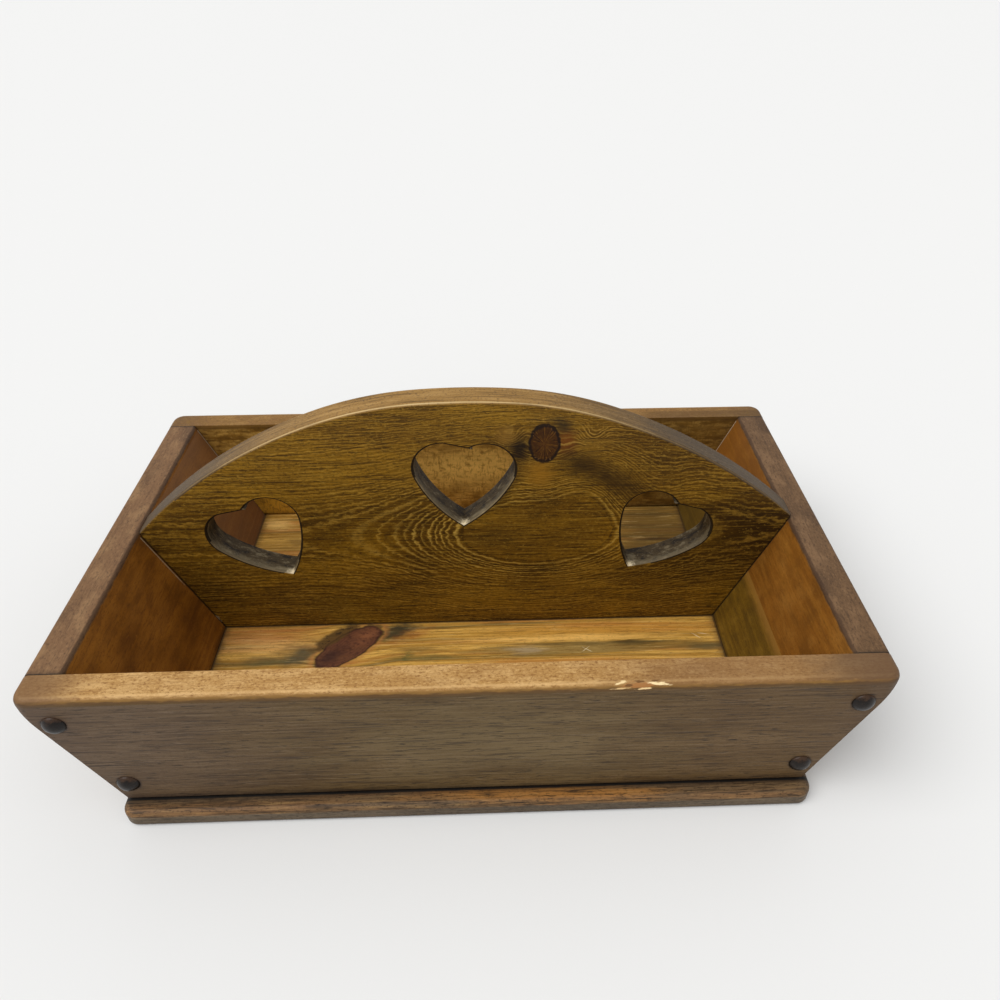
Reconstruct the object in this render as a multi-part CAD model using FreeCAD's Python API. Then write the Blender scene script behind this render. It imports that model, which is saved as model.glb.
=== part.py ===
import FreeCAD, Part
import math
import os

# A country tote in stained pine: an open tray with splayed ends on a projecting base, split down its
# length by a tall arched board that is both divider and handle.  Each corner is held by two screws,
# sunk in flat-bottomed holes that turned button plugs close.

# Frame: X along the tray, Y from the front panel to the back panel, Z up.  The origin is on the
# surface the tote stands on, under the middle of its base.

# ---- Driving sizes, millimetres and degrees ----

rim_length = 496.5          # over the ends of the front and back panels, at the rim
rim_width = 294.0           # over the outer faces of the front and back panels
rim_height = 109.0          # standing surface to rim
end_splay = 22.0            # lean of the two ends from upright
side_thickness = 19.0       # front and back panels
end_thickness = 20.0        # end boards, square to their faces
end_setback = 0.6           # end boards stop short of the panels' sawn ends
side_lift = 1.5             # shadow gap between the base and the front and back panels

base_thickness = 12.7
base_side_overhang = 10.5   # base beyond the front and back panels
base_end_overhang = 6.3     # base beyond the feet of the end boards
base_corner_radius = 9.0
base_top_round = 4.0

rim_corner_radius = 9.0     # plan radius of the tray's four top corners
side_rim_round = 4.5        # outer top edges of the front and back panels
end_outer_round = 3.0       # outer top edges of the end boards
end_inner_round = 2.0       # inner top edges of the end boards
right_seam_rise = 47.0      # glue line between the two boards of the right end, above the base

handle_thickness = 19.0
handle_height = 209.0       # standing surface to the crown of the arch
handle_offset = 3.0         # middle of the handle board behind the middle of the tray
right_tip_lift = 3.0        # where the arch meets the right end, above the rim
left_tip_lift = -1.0        # the left tip was sawn a little lower
handle_nose_radius = 4.0    # rounded tips of the arch
handle_edge_bevel = 1.8     # both edges of the arch, eased with a plane
crown_radius = 430.0        # the arch is sawn by hand: nearly flat at the crown,
crown_reach = 30.0          # out to here on each side of the middle,
haunch_radius = 240.0       # tighter over the haunches,
haunch_reach = 100.0        # out to here, and then one long curve down to each tip

heart_width = 70.0
heart_height = 70.5
heart_lobe_radius = 21.0
heart_side_radius = 95.5
heart_cleft_depth = 4.2
heart_cleft_shift = 5.0     # the cleft is cut off centre
centre_heart_drop = 30.5    # crown of the arch to the top of the middle heart
centre_heart_shift = -2.3
centre_heart_tilt = 2.5
side_heart_rise = 53.0      # top of the base to the tips of the outer hearts
left_heart_inset = 82.0     # end of the handle board to the tip of the left heart
left_heart_tilt = -24.8
right_heart_inset = 93.0
right_heart_tilt = 29.8

screw_length = 32.0         # flat-bottomed heads, as a flat-bottomed hole needs
screw_head_radius = 4.0
screw_head_height = 2.4
screw_shank_radius = 2.1

plug_hole_radius = 4.8
plug_hole_depth = 7.4
plug_head_radius = 6.8
plug_head_height = 4.0
plug_tenon_gap = 0.5        # end of the tenon to the screw head
upper_plug_drop = 20.0      # rim to the upper plugs
lower_plug_rise = 17.5      # base to the lower plugs

fit_clearance = 0.25        # round each screw and plug tenon

# ---- Worked-out places ----

Y_AXIS = FreeCAD.Vector(0, 1, 0)
Z_AXIS = FreeCAD.Vector(0, 0, 1)

splay_run = math.tan(math.radians(end_splay))
end_run = end_thickness / math.cos(math.radians(end_splay))
side_inner = rim_width / 2 - side_thickness
side_foot = base_thickness + side_lift
handle_front = handle_offset - handle_thickness / 2
left_tip_height = rim_height + left_tip_lift
right_tip_height = rim_height + right_tip_lift


def sawn_end(height):
    """Half-length of the front and back panels at a height."""
    return rim_length / 2 - (rim_height - height) * splay_run


def end_outer(height):
    """Distance from the middle to the outer face of an end board at a height."""
    return sawn_end(height) - end_setback


def end_inner(height):
    """Distance from the middle to the inner face of an end board at a height."""
    return end_outer(height) - end_run


def point(x, y, z):
    return FreeCAD.Vector(x, y, z)


def board_from_outline(corners, front, thickness):
    """A board whose outline lies in an XZ plane, from its front face to its back face."""
    vertices = [point(x, front, z) for x, z in corners]
    face = Part.Face(Part.makePolygon(vertices + vertices[:1]))
    return face.extrude(Y_AXIS * thickness)


def edges_where(shape, test):
    """The edges of a shape whose middle point passes a test."""
    found = []
    for edge in shape.Edges:
        middle = edge.valueAt((edge.FirstParameter + edge.LastParameter) / 2)
        if test(middle):
            found.append(edge)
    return found


def near(value, target):
    return abs(value - target) < 0.01


def put(shape, place, direction):
    """Copy a shape from its own axis, +Z, to a place and direction on the tote."""
    moved = shape.copy()
    moved.Placement = FreeCAD.Placement(place, FreeCAD.Rotation(Z_AXIS, direction))
    return moved


# ---- Screws and plugs, each on its own axis with +Z going into the wood from its outer face ----

def wood_screw():
    """A screw without its thread, its head resting on the floor of the hole."""
    head_top = plug_hole_depth - screw_head_height
    head = Part.makeCylinder(screw_head_radius, screw_head_height, point(0, 0, head_top))
    shank = Part.makeCylinder(screw_shank_radius, screw_length - screw_head_height,
                              point(0, 0, plug_hole_depth))
    return head.fuse(shank)


def screw_hole():
    """A flat-bottomed hole for the plug and the screw head, and a clear hole for the shank."""
    mouth = Part.makeCylinder(plug_hole_radius, plug_hole_depth)
    run = Part.makeCylinder(screw_shank_radius + fit_clearance,
                            screw_length - screw_head_height + fit_clearance,
                            point(0, 0, plug_hole_depth))
    return mouth.fuse(run)


def button_plug():
    """A turned button: a domed head that sits on the wood and a tenon that fills the hole."""
    rim = point(plug_head_radius, 0, 0)
    crown = point(0, 0, -plug_head_height)
    dome_radius = (plug_head_radius ** 2 + plug_head_height ** 2) / (2 * plug_head_height)
    half_angle = math.asin(plug_head_radius / dome_radius) / 2
    middle = point(dome_radius * math.sin(half_angle), 0,
                   -plug_head_height + dome_radius * (1 - math.cos(half_angle)))
    tenon = plug_hole_radius - fit_clearance
    tenon_end = plug_hole_depth - screw_head_height - plug_tenon_gap
    path = [
        rim,
        point(tenon, 0, 0),
        point(tenon, 0, tenon_end),
        point(0, 0, tenon_end),
        crown,
    ]
    edges = [Part.LineSegment(a, b).toShape() for a, b in zip(path, path[1:])]
    edges.append(Part.Arc(crown, middle, rim).toShape())
    return Part.Face(Part.Wire(edges)).revolve(point(0, 0, 0), Z_AXIS, 360)


def corner_places():
    """For each pair of plugs, its name, its two places on a panel and its driving direction.

    The screws run into the middle of the end boards.  A pair is level: one left, one right.
    """
    pairs = []
    for panel, side in (("front", -1), ("back", 1)):
        for level, height in (("upper", rim_height - upper_plug_drop),
                              ("lower", base_thickness + lower_plug_rise)):
            middle_of_end = (end_outer(height) + end_inner(height)) / 2
            places = [point(end * middle_of_end, side * rim_width / 2, height) for end in (-1, 1)]
            pairs.append((f"{panel}_{level}", places, Y_AXIS * -side))
    return pairs


# ---- Boards ----

def base_board():
    """The base: rounded corners in plan and a soft round on its top edge."""
    half_length = end_outer(base_thickness) + base_end_overhang
    half_width = rim_width / 2 + base_side_overhang
    blank = Part.makeBox(2 * half_length, 2 * half_width, base_thickness,
                         point(-half_length, -half_width, 0))
    upright = edges_where(blank, lambda m: near(m.z, base_thickness / 2))
    board = blank.makeFillet(base_corner_radius, upright)
    top = edges_where(board, lambda m: near(m.z, base_thickness))
    return board.makeFillet(base_top_round, top)


def rim_block():
    """A block as large as the finished rim, with rounded corners in plan and a rounded top edge."""
    blank = Part.makeBox(rim_length, rim_width, rim_height,
                         point(-rim_length / 2, -rim_width / 2, 0))
    upright = edges_where(blank, lambda m: near(m.z, rim_height / 2))
    block = blank.makeFillet(rim_corner_radius, upright)
    rim_edges = edges_where(block, lambda m: near(m.z, rim_height))
    return block.makeFillet(side_rim_round, rim_edges)


def side_panel(side):
    """Front panel (side -1) or back panel (side 1).

    Its sawn ends follow the splay of the end boards, and its outer top edge and top corners are
    rounded with the rim.
    """
    outline = [
        (-sawn_end(side_foot), side_foot),
        (sawn_end(side_foot), side_foot),
        (sawn_end(rim_height), rim_height),
        (-sawn_end(rim_height), rim_height),
    ]
    front = -rim_width / 2 if side < 0 else side_inner
    return board_from_outline(outline, front, side_thickness).common(rim_block())


def end_board(end, low, high):
    """A board of an end wall between two heights on its inner face.  end is -1 left, 1 right.

    Its lower edge lies flat on the base or square to its faces on a glue line, and its upper edge
    is square to its faces on a glue line or level with the rim.
    """
    square_drop = end_thickness * math.sin(math.radians(end_splay))
    low_outer = low if near(low, base_thickness) else low - square_drop
    high_outer = high if near(high, rim_height) else high - square_drop
    outline = [
        (end * end_inner(low), low),
        (end * end_outer(low_outer), low_outer),
        (end * end_outer(high_outer), high_outer),
        (end * end_inner(high), high),
    ]
    board = board_from_outline(outline, -side_inner, 2 * side_inner)
    if near(high, rim_height):
        for distance, radius in ((end_outer(high), end_outer_round),
                                 (end_inner(high), end_inner_round)):
            rim_edge = edges_where(board, lambda m: near(m.z, rim_height)
                                   and near(m.x, end * distance))
            board = board.makeFillet(radius, rim_edge)
    return board


def arc_from(start, start_angle, finish):
    """An arc in an XZ plane that leaves start sloping down at an angle and ends at finish.

    Gives the arc's centre and radius and the slope it ends with.
    """
    across = point(-math.sin(start_angle), 0, -math.cos(start_angle))
    chord = finish - start
    radius = chord.Length ** 2 / (2 * chord.dot(across))
    centre = start + across * radius
    end_angle = math.asin((finish.x - centre.x) / radius)
    return centre, radius, end_angle


def arch_edges():
    """The sawn top of the handle board: five arcs that run smoothly from tip to tip."""
    crown_angle = math.asin(crown_reach / crown_radius)
    crown_centre = point(0, handle_front, handle_height - crown_radius)

    def on_circle(centre, radius, angle):
        return centre + point(math.sin(angle), 0, math.cos(angle)) * radius

    crown_end = on_circle(crown_centre, crown_radius, crown_angle)
    haunch_centre = on_circle(crown_centre, crown_radius - haunch_radius, crown_angle)
    haunch_angle = math.asin((haunch_reach - haunch_centre.x) / haunch_radius)
    haunch_middle = on_circle(haunch_centre, haunch_radius, (crown_angle + haunch_angle) / 2)
    haunch_end = on_circle(haunch_centre, haunch_radius, haunch_angle)

    def half_arch(tip_height):
        """The right half's arcs from the crown down to a tip at a height."""
        tip = point(end_inner(tip_height), handle_front, tip_height)
        centre, radius, tip_angle = arc_from(haunch_end, haunch_angle, tip)
        shoulder_middle = on_circle(centre, radius, (haunch_angle + tip_angle) / 2)
        return [(crown_end, haunch_middle, haunch_end), (haunch_end, shoulder_middle, tip)]

    def mirrored(spot):
        return point(-spot.x, spot.y, spot.z)

    right = half_arch(right_tip_height)
    left = [tuple(mirrored(spot) for spot in reversed(arc))
            for arc in reversed(half_arch(left_tip_height))]
    crown = (mirrored(crown_end), point(0, handle_front, handle_height), crown_end)
    return [Part.Arc(*arc).toShape() for arc in left + [crown] + right]


def heart_outline(tip_x, tip_z, tilt, flipped):
    """A closed heart for a hand-sawn cut-out, in the plane of the handle's front face.

    Two round lobes run into two long side curves that meet at the tip.  A straight cut leads from
    the wider lobe to an off-centre cleft, and flipped puts the cleft on the other side.
    """
    lobe_height = heart_height - heart_lobe_radius
    lobe_reach = heart_width / 2 - heart_lobe_radius
    reach_from_tip = math.hypot(lobe_reach, lobe_height)
    centre_gap = heart_side_radius - heart_lobe_radius
    along = ((heart_side_radius ** 2 - centre_gap ** 2 + reach_from_tip ** 2)
             / (2 * reach_from_tip))
    across = math.sqrt(heart_side_radius ** 2 - along ** 2)
    toward = (lobe_reach / reach_from_tip, lobe_height / reach_from_tip)
    side_centre = (toward[0] * along - toward[1] * across, toward[1] * along + toward[0] * across)
    outward = ((lobe_reach - side_centre[0]) / centre_gap, (lobe_height - side_centre[1]) / centre_gap)
    meet_angle = math.atan2(outward[1], outward[0])
    tip_angle = math.atan2(-side_centre[1], -side_centre[0])
    cleft = (heart_cleft_shift, heart_height - heart_cleft_depth)
    top_angle = math.pi / 2
    steep_angle = math.radians(120)

    def on_lobe(side, angle):
        return (side * (lobe_reach + heart_lobe_radius * math.cos(angle)),
                lobe_height + heart_lobe_radius * math.sin(angle))

    def on_side(side, angle):
        return (side * (side_centre[0] + heart_side_radius * math.cos(angle)),
                side_centre[1] + heart_side_radius * math.sin(angle))

    turn = math.radians(tilt)
    mirror = -1 if flipped else 1

    def in_board(spot):
        x, z = mirror * spot[0], spot[1]
        return point(tip_x + x * math.cos(turn) + z * math.sin(turn), handle_front,
                     tip_z - x * math.sin(turn) + z * math.cos(turn))

    def arc(start, middle, finish):
        return Part.Arc(in_board(start), in_board(middle), in_board(finish)).toShape()

    side_middle = (tip_angle + meet_angle) / 2
    right_lobe_end = on_lobe(1, steep_angle)
    left_lobe_end = on_lobe(-1, top_angle)
    edges = [
        arc((0, 0), on_side(1, side_middle), on_side(1, meet_angle)),
        arc(on_lobe(1, meet_angle), on_lobe(1, (meet_angle + steep_angle) / 2), right_lobe_end),
        Part.LineSegment(in_board(right_lobe_end), in_board(cleft)).toShape(),
        Part.LineSegment(in_board(cleft), in_board(left_lobe_end)).toShape(),
        arc(left_lobe_end, on_lobe(-1, (meet_angle + top_angle) / 2), on_lobe(-1, meet_angle)),
        arc(on_side(-1, meet_angle), on_side(-1, side_middle), (0, 0)),
    ]
    return Part.Face(Part.Wire(edges))


def heart_cuts():
    """The three cut-outs as solids through the handle board."""
    side_tip_height = base_thickness + side_heart_rise
    board_end = end_inner(side_tip_height)
    centre_tip_height = handle_height - centre_heart_drop - heart_height
    outlines = [
        heart_outline(centre_heart_shift, centre_tip_height, centre_heart_tilt, False),
        heart_outline(left_heart_inset - board_end, side_tip_height, left_heart_tilt, False),
        heart_outline(board_end - right_heart_inset, side_tip_height, right_heart_tilt, True),
    ]
    return [outline.extrude(Y_AXIS * handle_thickness) for outline in outlines]


def divider_handle():
    """The arched board that divides the tray and carries it."""
    foot = base_thickness
    left_tip = point(-end_inner(left_tip_height), handle_front, left_tip_height)
    right_tip = point(end_inner(right_tip_height), handle_front, right_tip_height)
    left_foot = point(-end_inner(foot), handle_front, foot)
    right_foot = point(end_inner(foot), handle_front, foot)
    straight = [(right_tip, right_foot), (right_foot, left_foot), (left_foot, left_tip)]
    edges = arch_edges() + [Part.LineSegment(a, b).toShape() for a, b in straight]
    board = Part.Face(Part.Wire(edges)).extrude(Y_AXIS * handle_thickness)
    noses = edges_where(board, lambda m: any(near(m.x, tip.x) and near(m.z, tip.z)
                                             for tip in (left_tip, right_tip)))
    board = board.makeFillet(handle_nose_radius, noses)
    under_noses = left_tip_height - 2 * handle_nose_radius
    for face_y in (handle_front, handle_front + handle_thickness):
        upper = edges_where(board, lambda m: near(m.y, face_y) and m.z > under_noses)
        board = board.makeChamfer(handle_edge_bevel, upper)
    return board.cut(heart_cuts())


# ---- Build ----

def main():
    pairs = corner_places()
    holes = [put(screw_hole(), place, direction)
             for _, places, direction in pairs for place in places]

    seam = base_thickness + right_seam_rise
    boards = {
        "base_board": base_board(),
        "front_panel": side_panel(-1),
        "back_panel": side_panel(1),
        "left_end_board": end_board(-1, base_thickness, rim_height),
        "right_end_lower_board": end_board(1, base_thickness, seam),
        "right_end_upper_board": end_board(1, seam, rim_height),
        "divider_handle": divider_handle(),
    }
    parts = {name: board.cut(holes) for name, board in boards.items()}

    for name, places, direction in pairs:
        parts[f"{name}_plugs"] = Part.makeCompound(
            [put(button_plug(), place, direction) for place in places])
        parts[f"{name}_screws"] = Part.makeCompound(
            [put(wood_screw(), place, direction) for place in places])

    os.makedirs("parts", exist_ok=True)
    for name, shape in parts.items():
        solids = shape.Solids
        piece = solids[0] if len(solids) == 1 else shape
        piece.exportStep(f"parts/{name}.step")
        print(f"{name:24s} solids {len(solids)}  valid {piece.isValid()}  "
              f"volume {piece.Volume / 1000:8.2f} cm3")


main()
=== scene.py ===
# %% [markdown]
# # A wooden tool tote, dressed for its picture
#
# The tote is a country piece in stained pine: an open tray with splayed ends on a projecting base,
# and a tall arched board that is both divider and handle.  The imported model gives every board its
# place.  Each cell below makes one piece or one finish, and prints what it made or measured.

# %% Load the frame
import bmesh
import bpy
import math
from mathutils import Matrix, Vector


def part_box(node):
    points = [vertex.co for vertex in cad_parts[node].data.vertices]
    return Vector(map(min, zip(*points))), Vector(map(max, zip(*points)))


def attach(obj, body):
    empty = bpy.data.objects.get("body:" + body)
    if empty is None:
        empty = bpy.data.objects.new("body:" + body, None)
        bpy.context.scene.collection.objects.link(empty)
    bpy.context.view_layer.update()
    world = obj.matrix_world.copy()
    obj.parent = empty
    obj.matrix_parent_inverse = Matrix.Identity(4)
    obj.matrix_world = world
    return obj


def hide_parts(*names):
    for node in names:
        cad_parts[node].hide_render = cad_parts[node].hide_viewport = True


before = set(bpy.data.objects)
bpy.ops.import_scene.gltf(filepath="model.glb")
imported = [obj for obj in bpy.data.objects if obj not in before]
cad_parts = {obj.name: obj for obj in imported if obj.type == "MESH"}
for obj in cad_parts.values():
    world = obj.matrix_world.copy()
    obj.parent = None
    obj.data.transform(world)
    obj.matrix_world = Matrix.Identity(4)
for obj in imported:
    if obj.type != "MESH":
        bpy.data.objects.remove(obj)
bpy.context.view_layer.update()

# %% [markdown]
# ## Camera
#
# The tote is seen from a little above and in front, from about arm's length, with the wide lens of a
# phone.  A wide lens close by makes the front look larger than the back, so lens and distance matter
# as much as the angle.  The turn is built from three plain turns: to the side, down, and a small roll.

# %% Camera
MM = 0.001

SENSOR_WIDTH = 36.0                         # mm
LENS = 27.81                                # mm
CAMERA_PLACE = (18.27, -417.30, 457.11)     # mm
CAMERA_YAW = -2.11                          # degrees
CAMERA_PITCH = -37.18
CAMERA_ROLL = 0.15
CAMERA_SHIFT = (-0.0153, -0.0170)           # share of the picture's width
NEAREST_SEEN = 10.0                         # mm

camera_data = bpy.data.cameras.new("camera")
camera_data.lens = LENS
camera_data.sensor_width = SENSOR_WIDTH
camera_data.shift_x, camera_data.shift_y = CAMERA_SHIFT
camera_data.clip_start = NEAREST_SEEN * MM
camera = bpy.data.objects.new("camera", camera_data)
bpy.context.scene.collection.objects.link(camera)
turn = (Matrix.Rotation(math.radians(CAMERA_YAW), 4, "Z")
        @ Matrix.Rotation(math.radians(90 + CAMERA_PITCH), 4, "X")
        @ Matrix.Rotation(math.radians(CAMERA_ROLL), 4, "Z"))
camera.matrix_world = Matrix.Translation([value * MM for value in CAMERA_PLACE]) @ turn
bpy.context.scene.camera = camera
print("camera", tuple(round(value, 3) for value in camera.matrix_world.translation))

# %% [markdown]
# ## A node helper and a colour helper
#
# Every finish here is drawn by nodes.  One function adds a node, sets its own values and fills its
# sockets, either with a plain value or with another node's output.  A node goes into the material of
# the outputs that it is linked to, so only the first ones have to be told where they belong.  Colours
# are written as the hex values that a screen shows, and one function turns them to the linear values
# that light adds up in.

# %% Node and colour helpers
def add(kind, sockets, out=0, tree=None, **settings):
    """Add a shader node and return one of its outputs.  tree is needed where nothing is linked."""
    for value in sockets.values():
        if isinstance(value, bpy.types.NodeSocket):
            tree = value.id_data
    node = tree.nodes.new("ShaderNode" + kind)
    for name, value in settings.items():
        setattr(node, name, value)
    for key, value in sockets.items():
        if isinstance(value, bpy.types.NodeSocket):
            tree.links.new(value, node.inputs[key])
        else:
            node.inputs[key].default_value = value
    return node.outputs[out]


def hex_colour(text):
    """A linear colour with alpha from an sRGB hex value such as 8a6c30."""
    shares = [int(text[start:start + 2], 16) / 255 for start in (0, 2, 4)]
    return (*[share / 12.92 if share <= 0.04045 else ((share + 0.055) / 1.055) ** 2.4
              for share in shares], 1.0)


# %% [markdown]
# ## How stained pine is drawn
#
# Pine grows in rings round its pith.  A board is a slice through those rings, so its lines are not
# painted on: they are the places where the rings meet the cut face.  The nodes do the same.  They
# measure how far each point is from a pith that lies behind the face and bows away from it along the
# board.  Where it comes closest the slice shows long ovals, and away from there it shows near
# straight lines.  Two noises waver the rings, a slow one and a fine one.
#
# Stain soaks into the soft early wood and hardly into the hard late wood, so on stained pine the late
# wood shows as thin pale lines.

# %% Board coordinates in millimetres
def board_place(tree, turn_degrees=(0, 0, 0)):
    """Object coordinates in mm, turned so that X runs along the grain and XZ is the wide face."""
    source = add("TexCoord", {}, tree=tree, out=3)
    in_mm = add("VectorMath", {0: source, 3: 1000.0}, operation="SCALE")
    turns = [math.radians(value) for value in turn_degrees]
    return add("Mapping", {"Vector": in_mm, "Rotation": turns}, vector_type="TEXTURE")


def stretched_noise(place, lengths, detail=2.0, roughness=0.5, shift=0.0, reach=0.0):
    """Noise whose lumps are about these lengths in mm along X, Y and Z.

    It runs from 0 to 1, or with a reach from about minus that reach to the reach.  In the finishes
    below, each grain is a row of lengths, detail, roughness and shift.
    """
    scale = [1.0 / value for value in lengths]
    scaled = add("VectorMath", {0: place, 1: scale}, operation="MULTIPLY")
    moved = add("VectorMath", {0: scaled, 1: (shift, shift * 0.7, -shift)}, operation="ADD")
    noise = add("TexNoise", {"Vector": moved, "Scale": 1.0, "Detail": detail,
                             "Roughness": roughness})
    if not reach:
        return noise
    return add("MapRange", {0: noise, 1: 0.25, 2: 0.75, 3: -reach, 4: reach}, clamp=False)


# %% Soft patches, for smudges, knots, worn places, painted light and painted shade
def ellipse_reach(place, centre, size, turn=0.0):
    """How far each point is from the middle of an ellipse, 1 on its outline.  Sizes are halves in mm."""
    turned = add("Mapping", {"Vector": place, "Location": (centre[0], 0, centre[1]),
                             "Rotation": (0, math.radians(-turn), 0),
                             "Scale": (size[0], 1e6, size[1])}, vector_type="TEXTURE")
    return add("VectorMath", {0: turned}, out=1, operation="LENGTH"), turned


def patch(place, centre, size, turn=0.0, ragged=0.0, soft=1.0, grit=(10, 6, 6)):
    """1 inside an ellipse on the board's face, falling softly to 0 at its edge.

    centre and size are (x, z) in mm, turn is in degrees, ragged breaks up the edge and soft is the
    share of the way to the middle over which the patch grows to full strength.
    """
    reach, _ = ellipse_reach(place, centre, size, turn)
    if ragged:
        wander = stretched_noise(place, grit, detail=3.0, shift=centre[0] * 0.13, reach=ragged)
        reach = add("Math", {0: reach, 1: wander}, operation="ADD")
    return add("MapRange", {0: reach, 1: 1.0, 2: 1.0 - soft}, interpolation_type="SMOOTHSTEP")


# %% [markdown]
# A knot is a branch that the trunk grew round, so the rings part and pass on both sides of it.  The
# nodes squeeze the height they read towards the middle of the knot, which pushes the lines outwards
# round it.  Where the trunk bulged, rings close round a spot of their own, and where it leaned, they
# run aslant.

# %% Rings of the trunk
def part_round_knot(place, knot, reach, strength):
    """Shift the place that the rings are read at, so that they part and pass round a knot."""
    near = patch(place, knot, reach)
    height = add("SeparateXYZ", {0: place}, out=2)
    above = add("Math", {0: height, 1: knot[1]}, operation="SUBTRACT")
    pull = add("Math", {0: above, 1: near}, operation="MULTIPLY")
    drop = add("Math", {0: pull, 1: -strength}, operation="MULTIPLY")
    shift = add("CombineXYZ", {2: drop})
    return add("VectorMath", {0: place, 1: shift}, operation="ADD")


def slant_rings(place, centre, size, slope):
    """Shift the place that the rings are read at, so that they run aslant through a patch."""
    near = patch(place, centre, size)
    x = add("SeparateXYZ", {0: place}, out=0)
    along = add("Math", {0: x, 1: centre[0]}, operation="SUBTRACT")
    rise = add("Math", {0: along, 1: -slope}, operation="MULTIPLY")
    local_rise = add("Math", {0: rise, 1: near}, operation="MULTIPLY")
    shift = add("CombineXYZ", {2: local_rise})
    return add("VectorMath", {0: place, 1: shift}, operation="ADD")


def ring_count(place, pith, ring, slow, slow_reach, fine, fine_reach, swirls=(),
               narrowing=0.0, plain=0.0):
    """How many rings lie between the pith and each point.

    pith is (x, z, depth, bow, reach): its nearest place to the face, how deep it lies behind the face
    there, how much it bows away from there and over what length.  ring is the width of one year's
    growth in mm at the pith, and with narrowing the later years are narrower.  slow and fine are the
    lengths in mm of the two noises that waver the rings, each with its reach.  A swirl is (centre,
    size, height) of a spot that rings close round.  Up to the distance plain, the cut grazes one ring
    and shows no lines.
    """
    x_near, z_near, depth, bow, bow_reach = pith
    x, y, z = [add("SeparateXYZ", {0: place}, out=axis) for axis in range(3)]
    along = add("Math", {0: x, 1: x_near}, operation="SUBTRACT")
    share = add("Math", {0: along, 1: bow_reach}, operation="DIVIDE")
    squared = add("Math", {0: share, 1: share}, operation="MULTIPLY")
    fading = add("Math", {0: math.exp(-1), 1: squared}, operation="POWER")
    bowed = add("Math", {0: fading, 1: -bow, 2: bow + depth}, operation="MULTIPLY_ADD")
    behind = add("Math", {0: y, 1: bowed}, operation="ADD")
    slow_shift = stretched_noise(place, slow, reach=slow_reach)
    across = add("Math", {0: z, 1: z_near}, operation="SUBTRACT")
    wavered = add("Math", {0: across, 1: slow_shift}, operation="ADD")
    flat = add("CombineXYZ", {0: behind, 1: wavered})
    distance = add("VectorMath", {0: flat}, out=1, operation="LENGTH")
    fine_shift = stretched_noise(place, fine, shift=3.0, reach=fine_reach)
    distance = add("Math", {0: distance, 1: fine_shift}, operation="ADD")
    for centre, size, height in swirls:
        spot = patch(place, centre, size)
        bulge = add("Math", {0: spot, 1: height}, operation="MULTIPLY")
        distance = add("Math", {0: distance, 1: bulge}, operation="ADD")
    years = add("CombineXYZ", {0: distance})
    uneven = stretched_noise(years, (ring * 4, 1, 1), shift=6.0, reach=ring * 0.6)
    distance = add("Math", {0: distance, 1: uneven}, operation="ADD")
    distance = add("Math", {0: distance, 1: plain}, operation="MAXIMUM")
    rate = add("Math", {0: distance, 1: narrowing, 2: 1 / ring}, operation="MULTIPLY_ADD")
    return add("Math", {0: distance, 1: rate}, operation="MULTIPLY")


def ring_line(rings, start, peak, end, weakest):
    """1 on one part of each ring, from start over peak to end, stronger in some years than others."""
    share = add("Math", {0: rings}, operation="FRACT")
    rise = add("MapRange", {0: share, 1: start, 2: peak}, interpolation_type="SMOOTHSTEP")
    fall = add("MapRange", {0: share, 1: end, 2: peak}, interpolation_type="SMOOTHSTEP")
    line = add("Math", {0: rise, 1: fall}, operation="MULTIPLY")
    year = add("Math", {0: rings}, operation="FLOOR")
    luck = add("TexWhiteNoise", {"W": year}, noise_dimensions="1D")
    strength = add("MapRange", {0: luck, 3: weakest})
    return add("Math", {0: line, 1: strength}, operation="MULTIPLY")


def growth_lines(rings):
    """The thin line of hard late wood that ends each ring, and the soft early wood that starts it."""
    return (ring_line(rings, 0.5, 0.82, 1.0, weakest=0.45),
            ring_line(rings, 0.0, 0.16, 0.6, weakest=0.3))


# %% [markdown]
# ## Layers of stain and painted light
#
# A finish is built up as it was in the shop: the bare colour of the wood first, then one layer over
# another, each with its own colour and a mask that says where it lies and how thick it is.  Some
# layers are painted light and shade rather than stain, and each of those says so where it is laid.
# The last step is the varnish, which sets how sharp the reflections are, and the small hollows of the
# grain.

# %% Layers, varnish and relief
def colour_layers(ground, layers):
    """Lay colours over a ground colour.

    A layer is (tone, strength, mask), or (tone, strength, value, low, high), where the layer grows
    from nothing to its full strength as the value goes from low to high.
    """
    colour = ground if isinstance(ground, bpy.types.NodeSocket) else hex_colour(ground)
    for tone, strength, amount, *limits in layers:
        if limits:
            amount = add("MapRange", {0: amount, 1: limits[0], 2: limits[1], 4: strength},
                         interpolation_type="SMOOTHSTEP")
        elif strength != 1:
            amount = add("Math", {0: amount, 1: strength}, operation="MULTIPLY")
        over = tone if isinstance(tone, bpy.types.NodeSocket) else hex_colour(tone)
        colour = add("Mix", {0: amount, 6: colour, 7: over}, out=2, data_type="RGBA",
                     clamp_factor=True)
    return colour


def varnished(colour, relief, gloss_low=0.38, gloss_high=0.6, relief_mm=0.25, shine=0.3):
    """Finish a wood: colour, uneven satin varnish and relief from a height between 0 and 1.

    Old varnish loses its gloss to fine scratches, so its shine is below the 0.5 of a clean surface.
    """
    tree = colour.id_data
    shader = tree.nodes["Principled BSDF"]
    tree.links.new(colour, shader.inputs["Base Color"])
    rough = add("MapRange", {0: relief, 1: 0.2, 2: 0.8, 3: gloss_high, 4: gloss_low})
    tree.links.new(rough, shader.inputs["Roughness"])
    shader.inputs["IOR"].default_value = 1.5
    shader.inputs["Specular IOR Level"].default_value = shine
    bump = add("Bump", {"Height": relief, "Distance": relief_mm * MM, "Strength": 0.6})
    tree.links.new(bump, shader.inputs["Normal"])
    print("nodes in this finish:", len(tree.nodes))


def new_finish(name):
    """A new material with an empty shader, and its node tree."""
    material = bpy.data.materials.new(name)
    material.use_nodes = True
    return material, material.node_tree


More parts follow.
